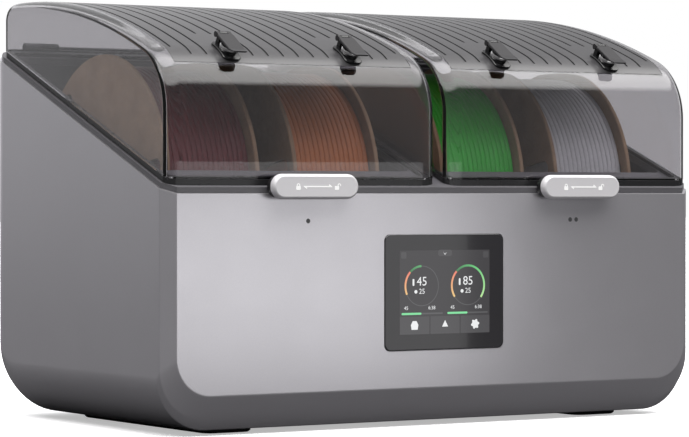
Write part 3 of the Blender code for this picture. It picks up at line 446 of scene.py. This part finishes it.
# ---- Side marks: shallow sunk dots under each latch, one for the left bay and two for the right.
# They are painted into the housing a shade darker than it.
mark_grey = moulding("mark_grey", (0.10, 0.10, 0.105), 0.5, Metallic=0.3)
lid_middle = 0.11505
mark_drop = 0.019
for side, count in ((-1, 1), (1, 2)):
    for k in range(count):
        place = (side * lid_middle + (k - (count - 1) / 2) * 0.0055, front_top - mark_drop)
        dot = solid([across(ring_of(place, r, 28), "Y", y) for r, y in
                     ((0.0014, -0.00002), (0.0016, -0.0001), (0.0017, -0.00002), (0.0016, 0.0004))])
        fit("side_mark_%d_%d" % (1 if side < 0 else 2, k + 1), dot, mark_grey, "box")


# ---- Covers and feet: steel base plate, vented rear cover, rubber strips and the mains inlet.
# The covers lie flush in rebates of the housing; the inlet clips into the rear cover.
rubber = moulding("rubber", (0.018, 0.018, 0.019), 0.72, grain=0.3, size=0.0009, smudge=0.1, bump=0.12)
black = moulding("black_plastic", (0.012, 0.012, 0.013), 0.38, grain=0.2, smudge=0.12)


def metal_finish(name, colour, rough, stretch):
    """Brushed or rolled metal: streaks along one direction, with a little patchy dullness."""
    finish = bpy.data.materials.new(name)
    finish.use_nodes = True
    tree = finish.node_tree
    shader = tree.nodes["Principled BSDF"]
    shader.inputs["Metallic"].default_value = 1.0
    spot = put_node(tree, "TexCoord").outputs["Object"]
    turned = put_node(tree, "Mapping", [(spot, "Vector")])
    turned.inputs["Scale"].default_value = stretch
    streaks = put_node(tree, "TexNoise", [(turned.outputs[0], "Vector")], Scale=60.0, Detail=5.0,
                       Roughness=0.7)
    ramp = put_node(tree, "ValToRGB", [(streaks.outputs["Fac"], "Fac")])
    ramp.color_ramp.elements[0].position = 0.3
    ramp.color_ramp.elements[0].color = (*[c * 0.72 for c in colour], 1)
    ramp.color_ramp.elements[1].position = 0.75
    ramp.color_ramp.elements[1].color = (*colour, 1)
    tree.links.new(ramp.outputs[0], shader.inputs["Base Color"])
    dull = calc(tree, "ADD", calc(tree, "MULTIPLY", streaks.outputs["Fac"], 0.22), rough - 0.11)
    tree.links.new(dull, shader.inputs["Roughness"])
    relief = put_node(tree, "Bump", [(streaks.outputs["Fac"], "Height")], Strength=0.06, Distance=0.0003)
    tree.links.new(relief.outputs[0], shader.inputs["Normal"])
    return finish


steel = metal_finish("rolled_steel", (0.56, 0.56, 0.57), 0.38, (1, 14, 14))
bright = metal_finish("bright_steel", (0.82, 0.82, 0.84), 0.16, (1, 1, 8))


def dress(node, finish):
    """Gives a CAD node whose shape is right its own finish."""
    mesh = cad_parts[node].data
    mesh.materials.clear()
    mesh.materials.append(finish)


for name in ("foot_left", "foot_right", "deck_seal_left", "deck_seal_right"):
    dress(name, rubber)
dress("base_plate", steel)
dress("rear_cover", housing_grey)
dress("power_inlet", black)
dress("power_supply", steel)
for name in ("fan_frame", "fan_rotor", "air_duct"):
    for side in ("left", "right"):
        dress("%s_%s" % (name, side), black)
for side in ("left", "right"):
    dress("heater_" + side, steel)
    dress("hinge_pin_" + side, bright)


# ---- Screen: a black cover lens set into the front, with the display behind its window.
# What the display shows is drawn just under the lens: two ring gauges, figures, bars and keys.
lens_black = moulding("lens_black", (0.024, 0.023, 0.026), 0.10, grain=0.1, smudge=0.05, bump=0.0,
                      Coat_Weight=0.4)
lens_rings = []
for inset, y in ((0.0009, -0.0007), (0.0004, -0.00062), (0.00012, -0.0004), (0, -0.0001), (0, rebate - gap)):
    lens_rings.append(across(on_screen(bezel_size, -inset, 0.005 - inset), "Y", y))
fit("cover_lens", solid(lens_rings), lens_black, "box", "screen_bezel")
dress("display_panel", lens_black)


def lit(name, colour, strength, base=(0.01, 0.01, 0.01)):
    """Something the display shows: it glows through the glossy lens, a little unevenly."""
    finish = bpy.data.materials.new(name)
    finish.use_nodes = True
    tree = finish.node_tree
    shader = tree.nodes["Principled BSDF"]
    shader.inputs["Base Color"].default_value = (*base, 1)
    shader.inputs["Roughness"].default_value = 0.12
    shader.inputs["Emission Strength"].default_value = strength
    spot = put_node(tree, "TexCoord").outputs["Object"]
    rows = put_node(tree, "TexWave", [(spot, "Vector")], Scale=900.0, Distortion=0.0)
    rows.bands_direction = "Z"
    mix = put_node(tree, "Mix", data_type="RGBA")
    tree.links.new(calc(tree, "MULTIPLY", rows.outputs["Fac"], 0.12), mix.inputs[0])
    mix.inputs[6].default_value = (*colour, 1)
    mix.inputs[7].default_value = (*[c * 0.7 for c in colour], 1)
    tree.links.new(mix.outputs[2], shader.inputs["Emission Color"])
    return finish


page_grey = lit("page_grey", (0.050, 0.048, 0.052), 1.0)
key_grey = lit("key_grey", (0.075, 0.073, 0.078), 1.0)
figure_white = lit("figure_white", (0.85, 0.86, 0.87), 1.0)
faint_grey = lit("faint_grey", (0.10, 0.10, 0.105), 1.0)
bar_green = lit("bar_green", (0.22, 0.75, 0.35), 1.0)
page_y = -0.00072
sheet = 0.00004


def drawn(name, outlines, finish, level):
    """Flat shapes shown on the page, each an outline in page millimetres from the page's middle."""
    y = page_y - level * sheet
    shapes = [bar([(x / 1000, screen_middle + z / 1000) for x, z in outline], "Y", y, y + sheet * 0.7)
              for outline in outlines]
    fit(name, gather(shapes), finish, "box")


def strip(x0, x1, z, tall):
    return soft_rectangle(((x0 + x1) / 2, z), (x1 - x0, tall), tall / 2.05, 4)


drawn("page", [soft_rectangle((0, 0), (78, 60), 0.4, 2)], page_grey, 0)
drawn("keys", [soft_rectangle((x, -23.6), (25.2, 12.6), 0.5, 2) for x in (-26.3, 0, 26.3)]
      + [soft_rectangle((0, 28.0), (12, 4.6), 1.6, 4)]
      + [soft_rectangle((x, 26.6), (4.6, 4.6), 0.8, 3) for x in (-35.6, 35.6)], key_grey, 1)


def text_shape(text, size, x, z):
    """Figures in the plain built-in face, centred on a page point."""
    curve = bpy.data.curves.new("figures", "FONT")
    curve.body = text
    curve.size = size / 1000
    curve.align_x = "CENTER"
    curve.align_y = "CENTER"
    curve.extrude = sheet * 0.3
    curve.resolution_u = 3
    holder = bpy.data.objects.new("figures", curve)
    bpy.context.collection.objects.link(holder)
    graph = bpy.context.evaluated_depsgraph_get()
    mesh = bpy.data.meshes.new_from_object(holder.evaluated_get(graph))
    bpy.data.objects.remove(holder, do_unlink=True)
    mesh.transform(Matrix.Translation((x / 1000, page_y - 2 * sheet, screen_middle + z / 1000))
                   @ Matrix.Rotation(math.pi / 2, 4, "X"))
    return mesh


def gear(x, z, radius):
    points = []
    for k in range(36):
        swing = radius * (1.0 if k % 6 < 3 else 0.78)
        points.append((x + swing * math.cos(math.pi * k / 18), z + swing * math.sin(math.pi * k / 18)))
    return points


figures = []
for x, value in ((-20.0, "45"), (20.0, "85")):
    figures.append(text_shape(value, 9.0, x, 7.6))
    figures.append(text_shape("25", 5.2, x, 0.6))
for x in (-33.5, 6.5):
    figures.append(text_shape("45", 3.6, x, -11.2))
for x in (-11.5, 29.0):
    figures.append(text_shape("6:38", 3.6, x, -11.2))
fit("figures", gather(figures), figure_white, "box", crease=60)
mug = [(-26.3 + x, -23.6 + z) for x, z in ((-2.6, -3), (2.6, -3), (3.2, 0.4), (1.6, 3.2), (-1.6, 3.2),
                                           (-3.2, 0.4))]
drawn("icons", [mug, gear(26.3, -23.6, 3.6),
                [(-2.6, -24.9), (2.6, -24.9), (0, -20.2)],
                [(-1.5, 28.7), (0, 27.3), (1.5, 28.7), (0, 26.6)]]
      + [soft_rectangle((x, 7.2), (1.5, 5.0), 0.7, 4) for x in (-27.3, 12.7)]
      + [ring_of((x, 0.5), 1.3, 14) for x in (-25.2, 14.8)], figure_white, 2)
drawn("bar_tracks", [strip(-37.5, -2.0, -15.2, 1.1), strip(2.0, 37.5, -15.2, 1.1)], faint_grey, 1)
drawn("bars", [strip(-37.5, -20.5, -15.2, 1.5), strip(2.0, 19.5, -15.2, 1.5)], bar_green, 2)

gauge_radius = 14.2
for number, (x, start, stop) in enumerate(((-20.0, 205, 92), (20.0, 215, -38)), 1):
    glow = lit("gauge_%d" % number, (0, 0, 0), 1.0)
    tree = glow.node_tree
    spot = put_node(tree, "TexCoord").outputs["Object"]
    angle = put_node(tree, "TexGradient", [(spot, "Vector")], gradient_type="RADIAL")
    ramp = put_node(tree, "ValToRGB", [(angle.outputs["Fac"], "Fac")])
    stops = ramp.color_ramp.elements
    stops[0].position = 0.0
    stops[0].color = (0.85, 0.22, 0.16, 1)
    stops[1].position = 1.0
    stops[1].color = (0.06, 0.20, 0.09, 1)
    for position, colour in ((0.17, (0.85, 0.50, 0.22)), (0.36, (0.85, 0.83, 0.30)),
                             (0.55, (0.45, 0.80, 0.35)),
                             (0.78, (0.16, 0.60, 0.22))):
        stops.new(position).color = (*colour, 1)
    tree.links.new(ramp.outputs[0], tree.nodes["Principled BSDF"].inputs["Emission Color"])
    outline = bend((0, 0), (gauge_radius + 0.75, gauge_radius + 0.75), math.radians(start),
                   math.radians(stop), 40)
    outline += bend((0, 0), (gauge_radius - 0.75, gauge_radius - 0.75), math.radians(stop),
                    math.radians(start), 40)
    arc_mesh = bar([(u / 1000, v / 1000) for u, v in outline], "Z", 0, sheet * 0.7)
    turn = Matrix.Rotation(math.radians(45), 4, "Z")
    arc_mesh.transform(turn)
    place = (x / 1000, page_y - 2 * sheet, screen_middle + 4.6 / 1000)
    piece = fit("gauge_%d" % number, arc_mesh, glow, "box", at=place)
    piece.rotation_euler = (math.pi / 2, math.radians(45), 0)
    track = bend((x, 4.6), (gauge_radius + 0.3, gauge_radius + 0.3), math.radians(stop),
                 math.radians(start - 360), 40)
    track += bend((x, 4.6), (gauge_radius - 0.3, gauge_radius - 0.3), math.radians(start - 360),
                  math.radians(stop), 40)
    drawn("gauge_track_%d" % number, [track], faint_grey, 1)


# ---- Circuit board: green laminate with solder mask, black packages and a steel can, all given the one green solder-mask finish here.
# It is screwed to four posts behind the display and can't be seen with the box closed.
board = moulding("solder_mask", (0.012, 0.09, 0.04), 0.35, grain=0.6, size=0.0016, smudge=0.2, bump=0.2)
dress("control_board", board)


# ---- Chambers: dark heat-resistant tubs with grey rollers in forks, and a sensor pod on one wall.
# The sloping deck frame above them is dark satin plastic, with a raised step round each opening.
tub_grey = moulding("tub_grey", (0.045, 0.045, 0.048), 0.55, grain=0.25, size=0.0009, bump=0.1)
roller_grey = moulding("roller_grey", (0.30, 0.30, 0.31), 0.42, grain=0.1)
pod_grey = moulding("pod_grey", (0.55, 0.55, 0.56), 0.45, grain=0.1)
deck_grey = moulding("deck_grey", (0.085, 0.083, 0.09), 0.36, grain=0.2, size=0.0006, smudge=0.1, bump=0.05)
for side in ("left", "right"):
    dress("chamber_" + side, tub_grey)
    dress("humidity_sensor_" + side, pod_grey)
    for number in range(1, 5):
        dress("roller_%s_%d" % (side, number), roller_grey)
dress("deck_frame", deck_grey)


# ---- Lids: clear smoke-tinted shells, 3.2 mm thick, with a ribbed dark panel let into the roof.
# A black rim under each shell carries the hinge knuckles and the tongue that the latch runs on.
lid_half = 0.11055
lid_front = 0.0040
lid_rear = depth - 0.010
lid_wall = 0.0032
lid_base = 0.0086
lid_edge = (0.012, 0.0055)
nose_radius = 0.050
crown_radius = 0.550
tail_radius = 0.014
lid_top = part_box("lid_shell_left")[1][2]
crown = (depth - 0.0275, lid_top - crown_radius)
nose_y = lid_front + nose_radius
nose = (nose_y, crown[1] + math.sqrt((crown_radius - nose_radius) ** 2 - (crown[0] - nose_y) ** 2))
nose_end = math.atan2(nose[1] - crown[1], nose[0] - crown[0])
tail_y = lid_rear - tail_radius
tail_start = math.acos((tail_y - crown[0]) / (crown_radius - tail_radius))
tail = (tail_y, crown[1] + (crown_radius - tail_radius) * math.sin(tail_start))
panel_half = lid_half - lid_edge[0] - 0.001
panel_front = -0.0227
panel_rear = (nose_end - tail_start) * crown_radius - 0.0038
panel_thick = 0.0017


def curve(inset, start, end, steps, centre, radius):
    return bend(centre, (radius - inset, radius - inset), start, end, steps)


def lid_side(inset, below):
    points = curve(inset, math.pi, nose_end, 18, nose, nose_radius)
    points += curve(inset, nose_end, tail_start, 26, crown, crown_radius)[1:]
    points += curve(inset, tail_start, 0, 10, tail, tail_radius)[1:]
    return ([(lid_front + inset, deck(lid_front + inset, lid_base - below))] + points
            + [(lid_rear - inset, deck(lid_rear - inset, lid_base - below))])


def lid_solid(side, inset, below, steps=10):
    half = lid_half - inset
    left = []
    for k in range(steps + 1):
        angle = math.pi / 2 * k / steps
        left.append((-half + (lid_edge[0] - inset) * (1 - math.cos(angle)),
                     inset + (lid_edge[1] - inset) * (1 - math.sin(angle))))
    stations = left + [(-x, drawn_in) for x, drawn_in in left[::-1]]
    return solid([across(lid_side(drawn_in, below), "X", side * lid_middle + x) for x, drawn_in in stations])


def on_line(run, inset):
    """The roof's side view at a distance behind the nose's end; a negative one lies on the nose."""
    centre, radius = (nose, nose_radius) if run < 0 else (crown, crown_radius)
    turn = nose_end - run / radius
    return centre[0] + (radius - inset) * math.cos(turn), centre[1] + (radius - inset) * math.sin(turn)


def roof_stations(start, end):
    """Distances along the roof from a start on the nose to an end on the crown."""
    return [start * (1 - k / 12) for k in range(12)] + [end * k / 36 for k in range(37)]


def roof_slab(side, half, top, bottom, start, end):
    runs = roof_stations(start, end)
    outline = [on_line(run, top) for run in runs] + [on_line(run, bottom) for run in runs[::-1]]
    return bar(outline, "X", side * lid_middle - half, side * lid_middle + half)


clear_smoke = bpy.data.materials.new("clear_smoke")
clear_smoke.use_nodes = True
tree = clear_smoke.node_tree
pane = tree.nodes["Principled BSDF"]
pane.inputs["Base Color"].default_value = (0.56, 0.55, 0.57, 1)
pane.inputs["Transmission Weight"].default_value = 1.0
pane.inputs["IOR"].default_value = 1.48
spot = put_node(tree, "TexCoord").outputs["Object"]
film = put_node(tree, "TexNoise", [(spot, "Vector")], Scale=22.0, Detail=6.0, Roughness=0.7, Distortion=1.0)
tree.links.new(calc(tree, "MULTIPLY", film.outputs["Fac"], 0.012), pane.inputs["Roughness"])
through = put_node(tree, "BsdfTransparent", Color=(0.86, 0.85, 0.87, 1))
cast = put_node(tree, "LightPath")
swap = put_node(tree, "MixShader", [(cast.outputs["Is Shadow Ray"], "Fac"), (pane.outputs[0], 1),
                                    (through.outputs[0], 2)])
tree.links.new(swap.outputs[0], tree.nodes["Material Output"].inputs["Surface"])

roof_smoke = moulding("roof_smoke", (0.050, 0.049, 0.052), 0.32, grain=0.08, size=0.0008, smudge=0.10,
                      bump=0.04,
                      Coat_Weight=0.10)
rim_black = moulding("rim_black", (0.014, 0.014, 0.015), 0.28, grain=0.15, smudge=0.1, bump=0.03)
groove_pitch = 0.0124
groove_half = 0.0010
groove_deep = 0.0009
outlet_spread = 0.050


def groove(x, start):
    """A round-ended channel that follows the roof from a start to near the panel's rear edge."""
    stop = panel_rear - 0.006
    rounding = [(groove_half * (1 - math.cos(t)), groove_half * math.sin(t)) for t in (0.25, 0.6, 1.0, 1.57)]
    path = [(start + run, half) for run, half in rounding]
    runs = roof_stations(panel_front + gap, panel_rear - gap)
    between = [(near + far) / 2 for near, far in zip(runs, runs[1:])]
    path += [(run, groove_half) for run in between if start + 2 * groove_half < run < stop - 2 * groove_half]
    path += [(stop - run, half) for run, half in rounding[::-1]]
    sections = []
    for run, half in path:
        sections.append([(x + sign * half, *on_line(run, inset))
                         for inset, sign in ((-0.002, -1), (-0.002, 1), (groove_deep, 1), (groove_deep, -1))])
    return solid(sections)


outlet_run = -0.0104
outlet_turn = nose_end - outlet_run / nose_radius
outlet_place = on_line(outlet_run, 0)


def on_roof(x):
    return Matrix.Translation((x, *outlet_place)) @ Matrix.Rotation(outlet_turn - math.pi / 2, 4, "X")


for name, side in (("left", -1), ("right", 1)):
    body = "lid_%s_body" % name
    inner_edge = 0.004
    seat = roof_slab(side, panel_half, -0.004, panel_thick + gap, panel_front, panel_rear)
    window = roof_slab(side, panel_half - inner_edge, -0.004, 0.009, panel_front + inner_edge,
                       panel_rear - inner_edge)
    shell = carve(lid_solid(side, 0, 0), lid_solid(side, lid_wall, 0.01), seat, window)
    fit("lid_window_" + name, shell, clear_smoke, body, "lid_shell_" + name, crease=24)
    panel = roof_slab(side, panel_half - gap, 0, panel_thick, panel_front + gap, panel_rear - gap)
    channels = []
    for k in range(-8, 8):
        x = (k + 0.5) * groove_pitch
        start = -0.0141
        if k in (-8, 7):
            start += 0.009
        if abs(abs(x) - outlet_spread) < groove_pitch:
            start = 0.027
        channels.append(groove(side * lid_middle + x, start))
    bores = []
    for end in (-1, 1):
        hole = bar(ring_of((0, 0), 0.0068, 32), "Z", -0.01, 0.01)
        hole.transform(on_roof(side * lid_middle + end * outlet_spread))
        bores.append(hole)
    panel = carve(panel, gather(channels), gather(bores))
    fit("roof_panel_" + name, panel, roof_smoke, body, "lid_panel_" + name, crease=28)
    dress("lid_rim_" + name, rim_black)


# ---- Filament outlets: black base with a bright guide ring, and a flip-up cap with a thumb lip.
# The base follows the roof; the cap turns on a pin behind the ring and its plug closes the bore.
outlet_black = moulding("outlet_black", (0.010, 0.010, 0.011), 0.22, grain=0.15, smudge=0.1, bump=0.02)
cap_grey = moulding("cap_grey", (0.030, 0.029, 0.031), 0.34, grain=0.12, smudge=0.1, bump=0.02,
                    Specular_IOR_Level=0.3)
ring_steel = metal_finish("ring_steel", (0.86, 0.85, 0.85), 0.14, (1, 1, 3))
bore = 0.004
axle = (0.0125, 0.0070)
barrel = 0.0021
for number in range(1, 5):
    side = -1 if number < 3 else 1
    x = side * lid_middle + (-1 if number % 2 else 1) * outlet_spread
    body = "lid_left_body" if side < 0 else "lid_right_body"
    place = on_roof(x)
    sections = []
    for k in range(21):
        run = outlet_run - 0.0102 + 0.0244 * k / 20
        near = min(run - outlet_run + 0.0104, outlet_run + 0.0144 - run, 0.0040)
        half = 0.0071 - 0.0040 + math.sqrt(max(0.0, 0.0040 ** 2 - (0.0040 - near) ** 2))
        sections.append([(x + u * half, *on_line(run, inset)) for u, inset in
                         ((-1, -gap), (-1, -0.0013), (-0.93, -0.0017), (0.93, -0.0017), (1, -0.0013),
                          (1, -gap))])
    saddle = solid(sections)
    collar = solid([across(ring_of((0, 0), r, 40), "Z", z) for r, z in
                    ((0.0065, -0.0038), (0.0065, 0.0024), (0.0061, 0.0029))])
    post = bar([(axle[0] - 0.003, -0.0008), (axle[0] + 0.0015, -0.0008), (axle[0] + 0.0018, axle[1]),
                (axle[0] - 0.0018, axle[1])], "X", -0.0028, 0.0028)
    eye = bar(ring_of(axle, barrel, 24), "X", -0.0029, 0.0029)
    hole = bar(ring_of((0, 0), bore, 32), "Z", -0.01, 0.02)
    pin_bore = bar(ring_of(axle, 0.0013, 16), "X", -0.01, 0.01)
    for part_mesh in (collar, post, eye, hole, pin_bore):
        part_mesh.transform(place)
    outlet = carve(carve(saddle, collar, post, eye, way="UNION"), hole, pin_bore)
    fit("outlet_base_%d" % number, outlet, outlet_black, body, "outlet_%d" % number, crease=28)
    guide = solid([across(ring_of((0, 0), r, 44), "Z", z) for r, z in
                   ((0.0064, 0.0031), (0.0066, 0.0036), (0.0066, 0.0048), (0.0061, 0.0056), (0.0052, 0.0057),
                    (0.0045, 0.0053), (0.0043, 0.0046), (0.0043, 0.0031))], closed=True)
    guide.transform(place)
    fit("outlet_ring_%d" % number, guide, ring_steel, body, crease=40)

    rear = axle[0] - barrel - 0.0006
    top = axle[1] + 0.0022
    steps = []
    for k in range(31):
        y = rear - (rear + 0.0165) * k / 30
        ends = min(rear - y + 0.0004, y + 0.0169, 0.0028)
        half = (0.0064 if y > -0.0105 else 0.0064 - (-0.0105 - y) * 0.13) - 0.0028
        half += math.sqrt(max(0.0, 0.0028 ** 2 - (0.0028 - ends) ** 2))
        lift = 0.0016 * max(0.0, (-0.0095 - y) / 0.007) ** 1.6
        thick = 0.0020 if y > -0.0085 else max(0.0011, 0.0020 + (y + 0.0085) * 0.25)
        low, high = top - thick + lift, top + lift
        steps.append([(-half, y, low + 0.0003), (-half, y, high - 0.0004), (-half + 0.0004, y, high),
                      (half - 0.0004, y, high), (half, y, high - 0.0004), (half, y, low + 0.0003),
                      (half - 0.0004, y, low), (-half + 0.0004, y, low)])
    lid_plate = solid(steps)
    plug = solid([across(ring_of((0, 0), r, 32), "Z", z) for r, z in
                  ((bore - 0.0006, 0.0030), (bore - gap, 0.0040), (bore - gap, top - 0.001))])
    ears = []
    for half in (-1, 1):
        ear = sorted((half * 0.0033, half * 0.0058))
        ears.append(bar(ring_of(axle, barrel, 24), "X", *ear))
        ears.append(block(sorted((half * 0.0035, half * 0.0057)), (0.0088, axle[0]), (axle[1], top - 0.0002)))
    pin = bar(ring_of(axle, 0.0010, 16), "X", -0.0050, 0.0050)
    cap = carve(lid_plate, plug, *ears, pin, way="UNION")
    cap.transform(place)
    fit("outlet_lid_%d" % number, cap, cap_grey, "outlet_cap_%d_body" % number,
        "outlet_cap_%d" % number, crease=28)


# ---- Latch sliders: light grey pills with a rounded edge and white marks that carry a faint painted glow.
# Each runs on the tongue of its lid's rim; the marks are a shut lock, an arrow and an open lock.
latch_grey = moulding("latch_grey", (0.66, 0.65, 0.67), 0.44, grain=0.05, smudge=0.06, bump=0.03,
                      Metallic=0.15)
# The white marks emit a faint white light (strength 0.15): a painted glow, since printed marks give no light.
mark_white_glow = moulding("mark_white_glow", (0.95, 0.95, 0.95), 0.4, grain=0.05, smudge=0.05, bump=0.0,
                      Emission_Strength=0.15, Emission_Color=(1, 1, 1, 1))
latch_size = (0.070, 0.0176)
latch_top = 0.0138
latch_proud = 0.0120


def pill(middle, inset, steps=14):
    size = (latch_size[0] - 2 * inset, latch_size[1] - 2 * inset)
    return soft_rectangle(middle, size, size[1] / 2 - 0.00001, steps)


def lock_mark(x, z, swung):
    """A padlock: a body, and a shackle that is shut or swung to one side."""
    shapes = [soft_rectangle((x, z - 0.9), (3.4, 2.6), 0.4, 3)]
    cx = x + (2.0 if swung else 0)
    outer = bend((cx, z + 0.9), (1.35, 1.35), 0, math.pi, 14)
    inner = bend((cx, z + 0.9), (0.8, 0.8), math.pi, 0, 14)
    legs = 0.9 if not swung else 0.5
    shapes.append([(cx + 1.35, z + 0.9 - legs)] + outer + [(cx - 1.35, z - 0.1), (cx - 0.8, z - 0.1)] + inner
                  + [(cx + 0.8, z + 0.9 - legs)])
    return shapes


for name, side in (("left", -1), ("right", 1)):
    x = side * lid_middle
    middle = (x, front_top + latch_top - latch_size[1] / 2)
    stations = ((0.0024, 0.0001), (0.0020, 0), (0.0014, 0.0002), (0.0008, 0.0007), (0.00035, 0.0015),
                (0.0001, 0.0026), (0, 0.0036), (0, 0.0049), (0.0003, 0.0054))
    body_mesh = solid([across(pill(middle, inset), "Y", y - latch_proud) for inset, y in stations])
    travel = 0.008
    tongue = (latch_top - 0.0063, latch_top - 0.0043)
    pocket = block((x - 0.020 - travel - gap, x + 0.020 + gap), (-0.0050, 0.01),
                   (front_top + tongue[0] - gap, front_top + tongue[1] + gap))
    slider = "latch_slider_%s_body" % name
    fit("latch_pill_" + name, body_mesh, latch_grey, slider, "latch_slider_" + name)
    backing = solid([across(pill(middle, 0.0012), "Y", y) for y in (0.0054 - latch_proud, -0.0006)])
    fit("latch_backing_" + name, carve(backing, pocket), rim_black, slider)
    arrow = [(-11.3, 0.42), (-8.3, -1.8), (-8.3, -0.42), (12.8, -0.42), (9.8, 1.8), (9.8, 0.42)]
    shapes = [arrow] + lock_mark(-15.2, 0, False) + lock_mark(16.2, 0, True)
    marks = [bar([(middle[0] + u / 1000, middle[1] + v / 1000) for u, v in outline], "Y",
                 -latch_proud + 0.00004, -latch_proud + 0.0006) for outline in shapes]
    fit("latch_marks_" + name, gather(marks), mark_white_glow, slider)


# ---- Spools: pressed brown cardboard with a hub tube and slotted flanges.
# The filament is wound in even turns, so its outside shows one fine ridge for each turn.
kraft = bpy.data.materials.new("kraft_board")
kraft.use_nodes = True
tree = kraft.node_tree
shader = tree.nodes["Principled BSDF"]
spot = put_node(tree, "TexCoord").outputs["Object"]
fibres = put_node(tree, "TexNoise", [(spot, "Vector")], Scale=420.0, Detail=6.0, Roughness=0.75,
                  Distortion=1.5)
pulp = put_node(tree, "TexNoise", [(spot, "Vector")], Scale=60.0, Detail=4.0, Roughness=0.6)
blend = calc(tree, "ADD", calc(tree, "MULTIPLY", fibres.outputs["Fac"], 0.6),
             calc(tree, "MULTIPLY", pulp.outputs["Fac"], 0.4))
ramp = put_node(tree, "ValToRGB", [(blend, "Fac")])
ramp.color_ramp.elements[0].position = 0.32
ramp.color_ramp.elements[0].color = (0.20, 0.125, 0.075, 1)
ramp.color_ramp.elements[1].position = 0.68
ramp.color_ramp.elements[1].color = (0.36, 0.24, 0.15, 1)
tree.links.new(ramp.outputs[0], shader.inputs["Base Color"])
shader.inputs["Roughness"].default_value = 0.85
relief = put_node(tree, "Bump", [(fibres.outputs["Fac"], "Height")], Strength=0.25, Distance=0.0004)
tree.links.new(relief.outputs[0], shader.inputs["Normal"])

spool_half = 0.0365
flange_thick = 0.0034
spool_radius = 0.096
hub_radius = 0.046
bore_radius = 0.0265
wind_radius = 0.088
strand = 0.0039
filament_colours = [(0.125, 0.013, 0.019), (0.47, 0.155, 0.048), (0.03, 0.45, 0.037), (0.54, 0.54, 0.56)]
sides = 96
for number, colour in enumerate(filament_colours, 1):
    box_low, box_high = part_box("spool_%d" % number)
    centre = [(a + b) / 2 for a, b in zip(box_low, box_high)]
    x = centre[0]
    axis = (centre[1] - front_y, centre[2])
    reel = "reel_%d" % number
    inside = spool_half - flange_thick
    rim = 0.0006
    outline = [(bore_radius, -spool_half), (spool_radius - rim, -spool_half),
               (spool_radius, -spool_half + rim),
               (spool_radius, -inside - rim), (spool_radius - rim, -inside), (hub_radius, -inside)]
    outline += [(r, -at) for r, at in outline[::-1]]
    spool = solid([across(ring_of(axis, r, sides), "X", x + at) for r, at in outline], closed=True)
    slots = []
    for k in range(3):
        for half in (-1, 1):
            slot = bar(soft_rectangle((0.070, 0), (0.036, 0.012), 0.0055), "Z", -0.004, 0.004)
            slot.transform(Matrix.Translation((x + half * (spool_half - flange_thick / 2), *axis))
                           @ Matrix.Rotation(math.radians(20 + 120 * k), 4, "X")
                           @ Matrix.Rotation(math.pi / 2, 4, "Y"))
            slots.append(slot)
    fit("cardboard_spool_%d" % number, carve(spool, gather(slots)), kraft, reel, "spool_%d" % number)
    half_wound = inside - gap
    turns = int(2 * half_wound / strand)
    pitch = 2 * half_wound / turns
    ridge = [(hub_radius + gap, x - half_wound)]
    for turn in range(turns):
        for share, lift in ((0.0, 0.0), (0.10, 0.6), (0.22, 0.93), (0.5, 1.0), (0.78, 0.93), (0.90, 0.6)):
            ridge.append((wind_radius - 0.0011 * (1 - lift), x - half_wound + (turn + share) * pitch))
    ridge += [(wind_radius - 0.0011, x + half_wound), (hub_radius + gap, x + half_wound)]
    wound = solid([across(ring_of(axis, r, sides), "X", at) for r, at in ridge], closed=True)
    slot_names = ("filament_maroon", "filament_copper", "filament_green", "filament_grey")
    plastic = moulding(slot_names[number - 1], colour, 0.34, grain=0.3, size=0.0025, smudge=0.15, bump=0.1)
    fit("winding_%d" % number, wound, plastic, reel, "filament_%d" % number, crease=70)
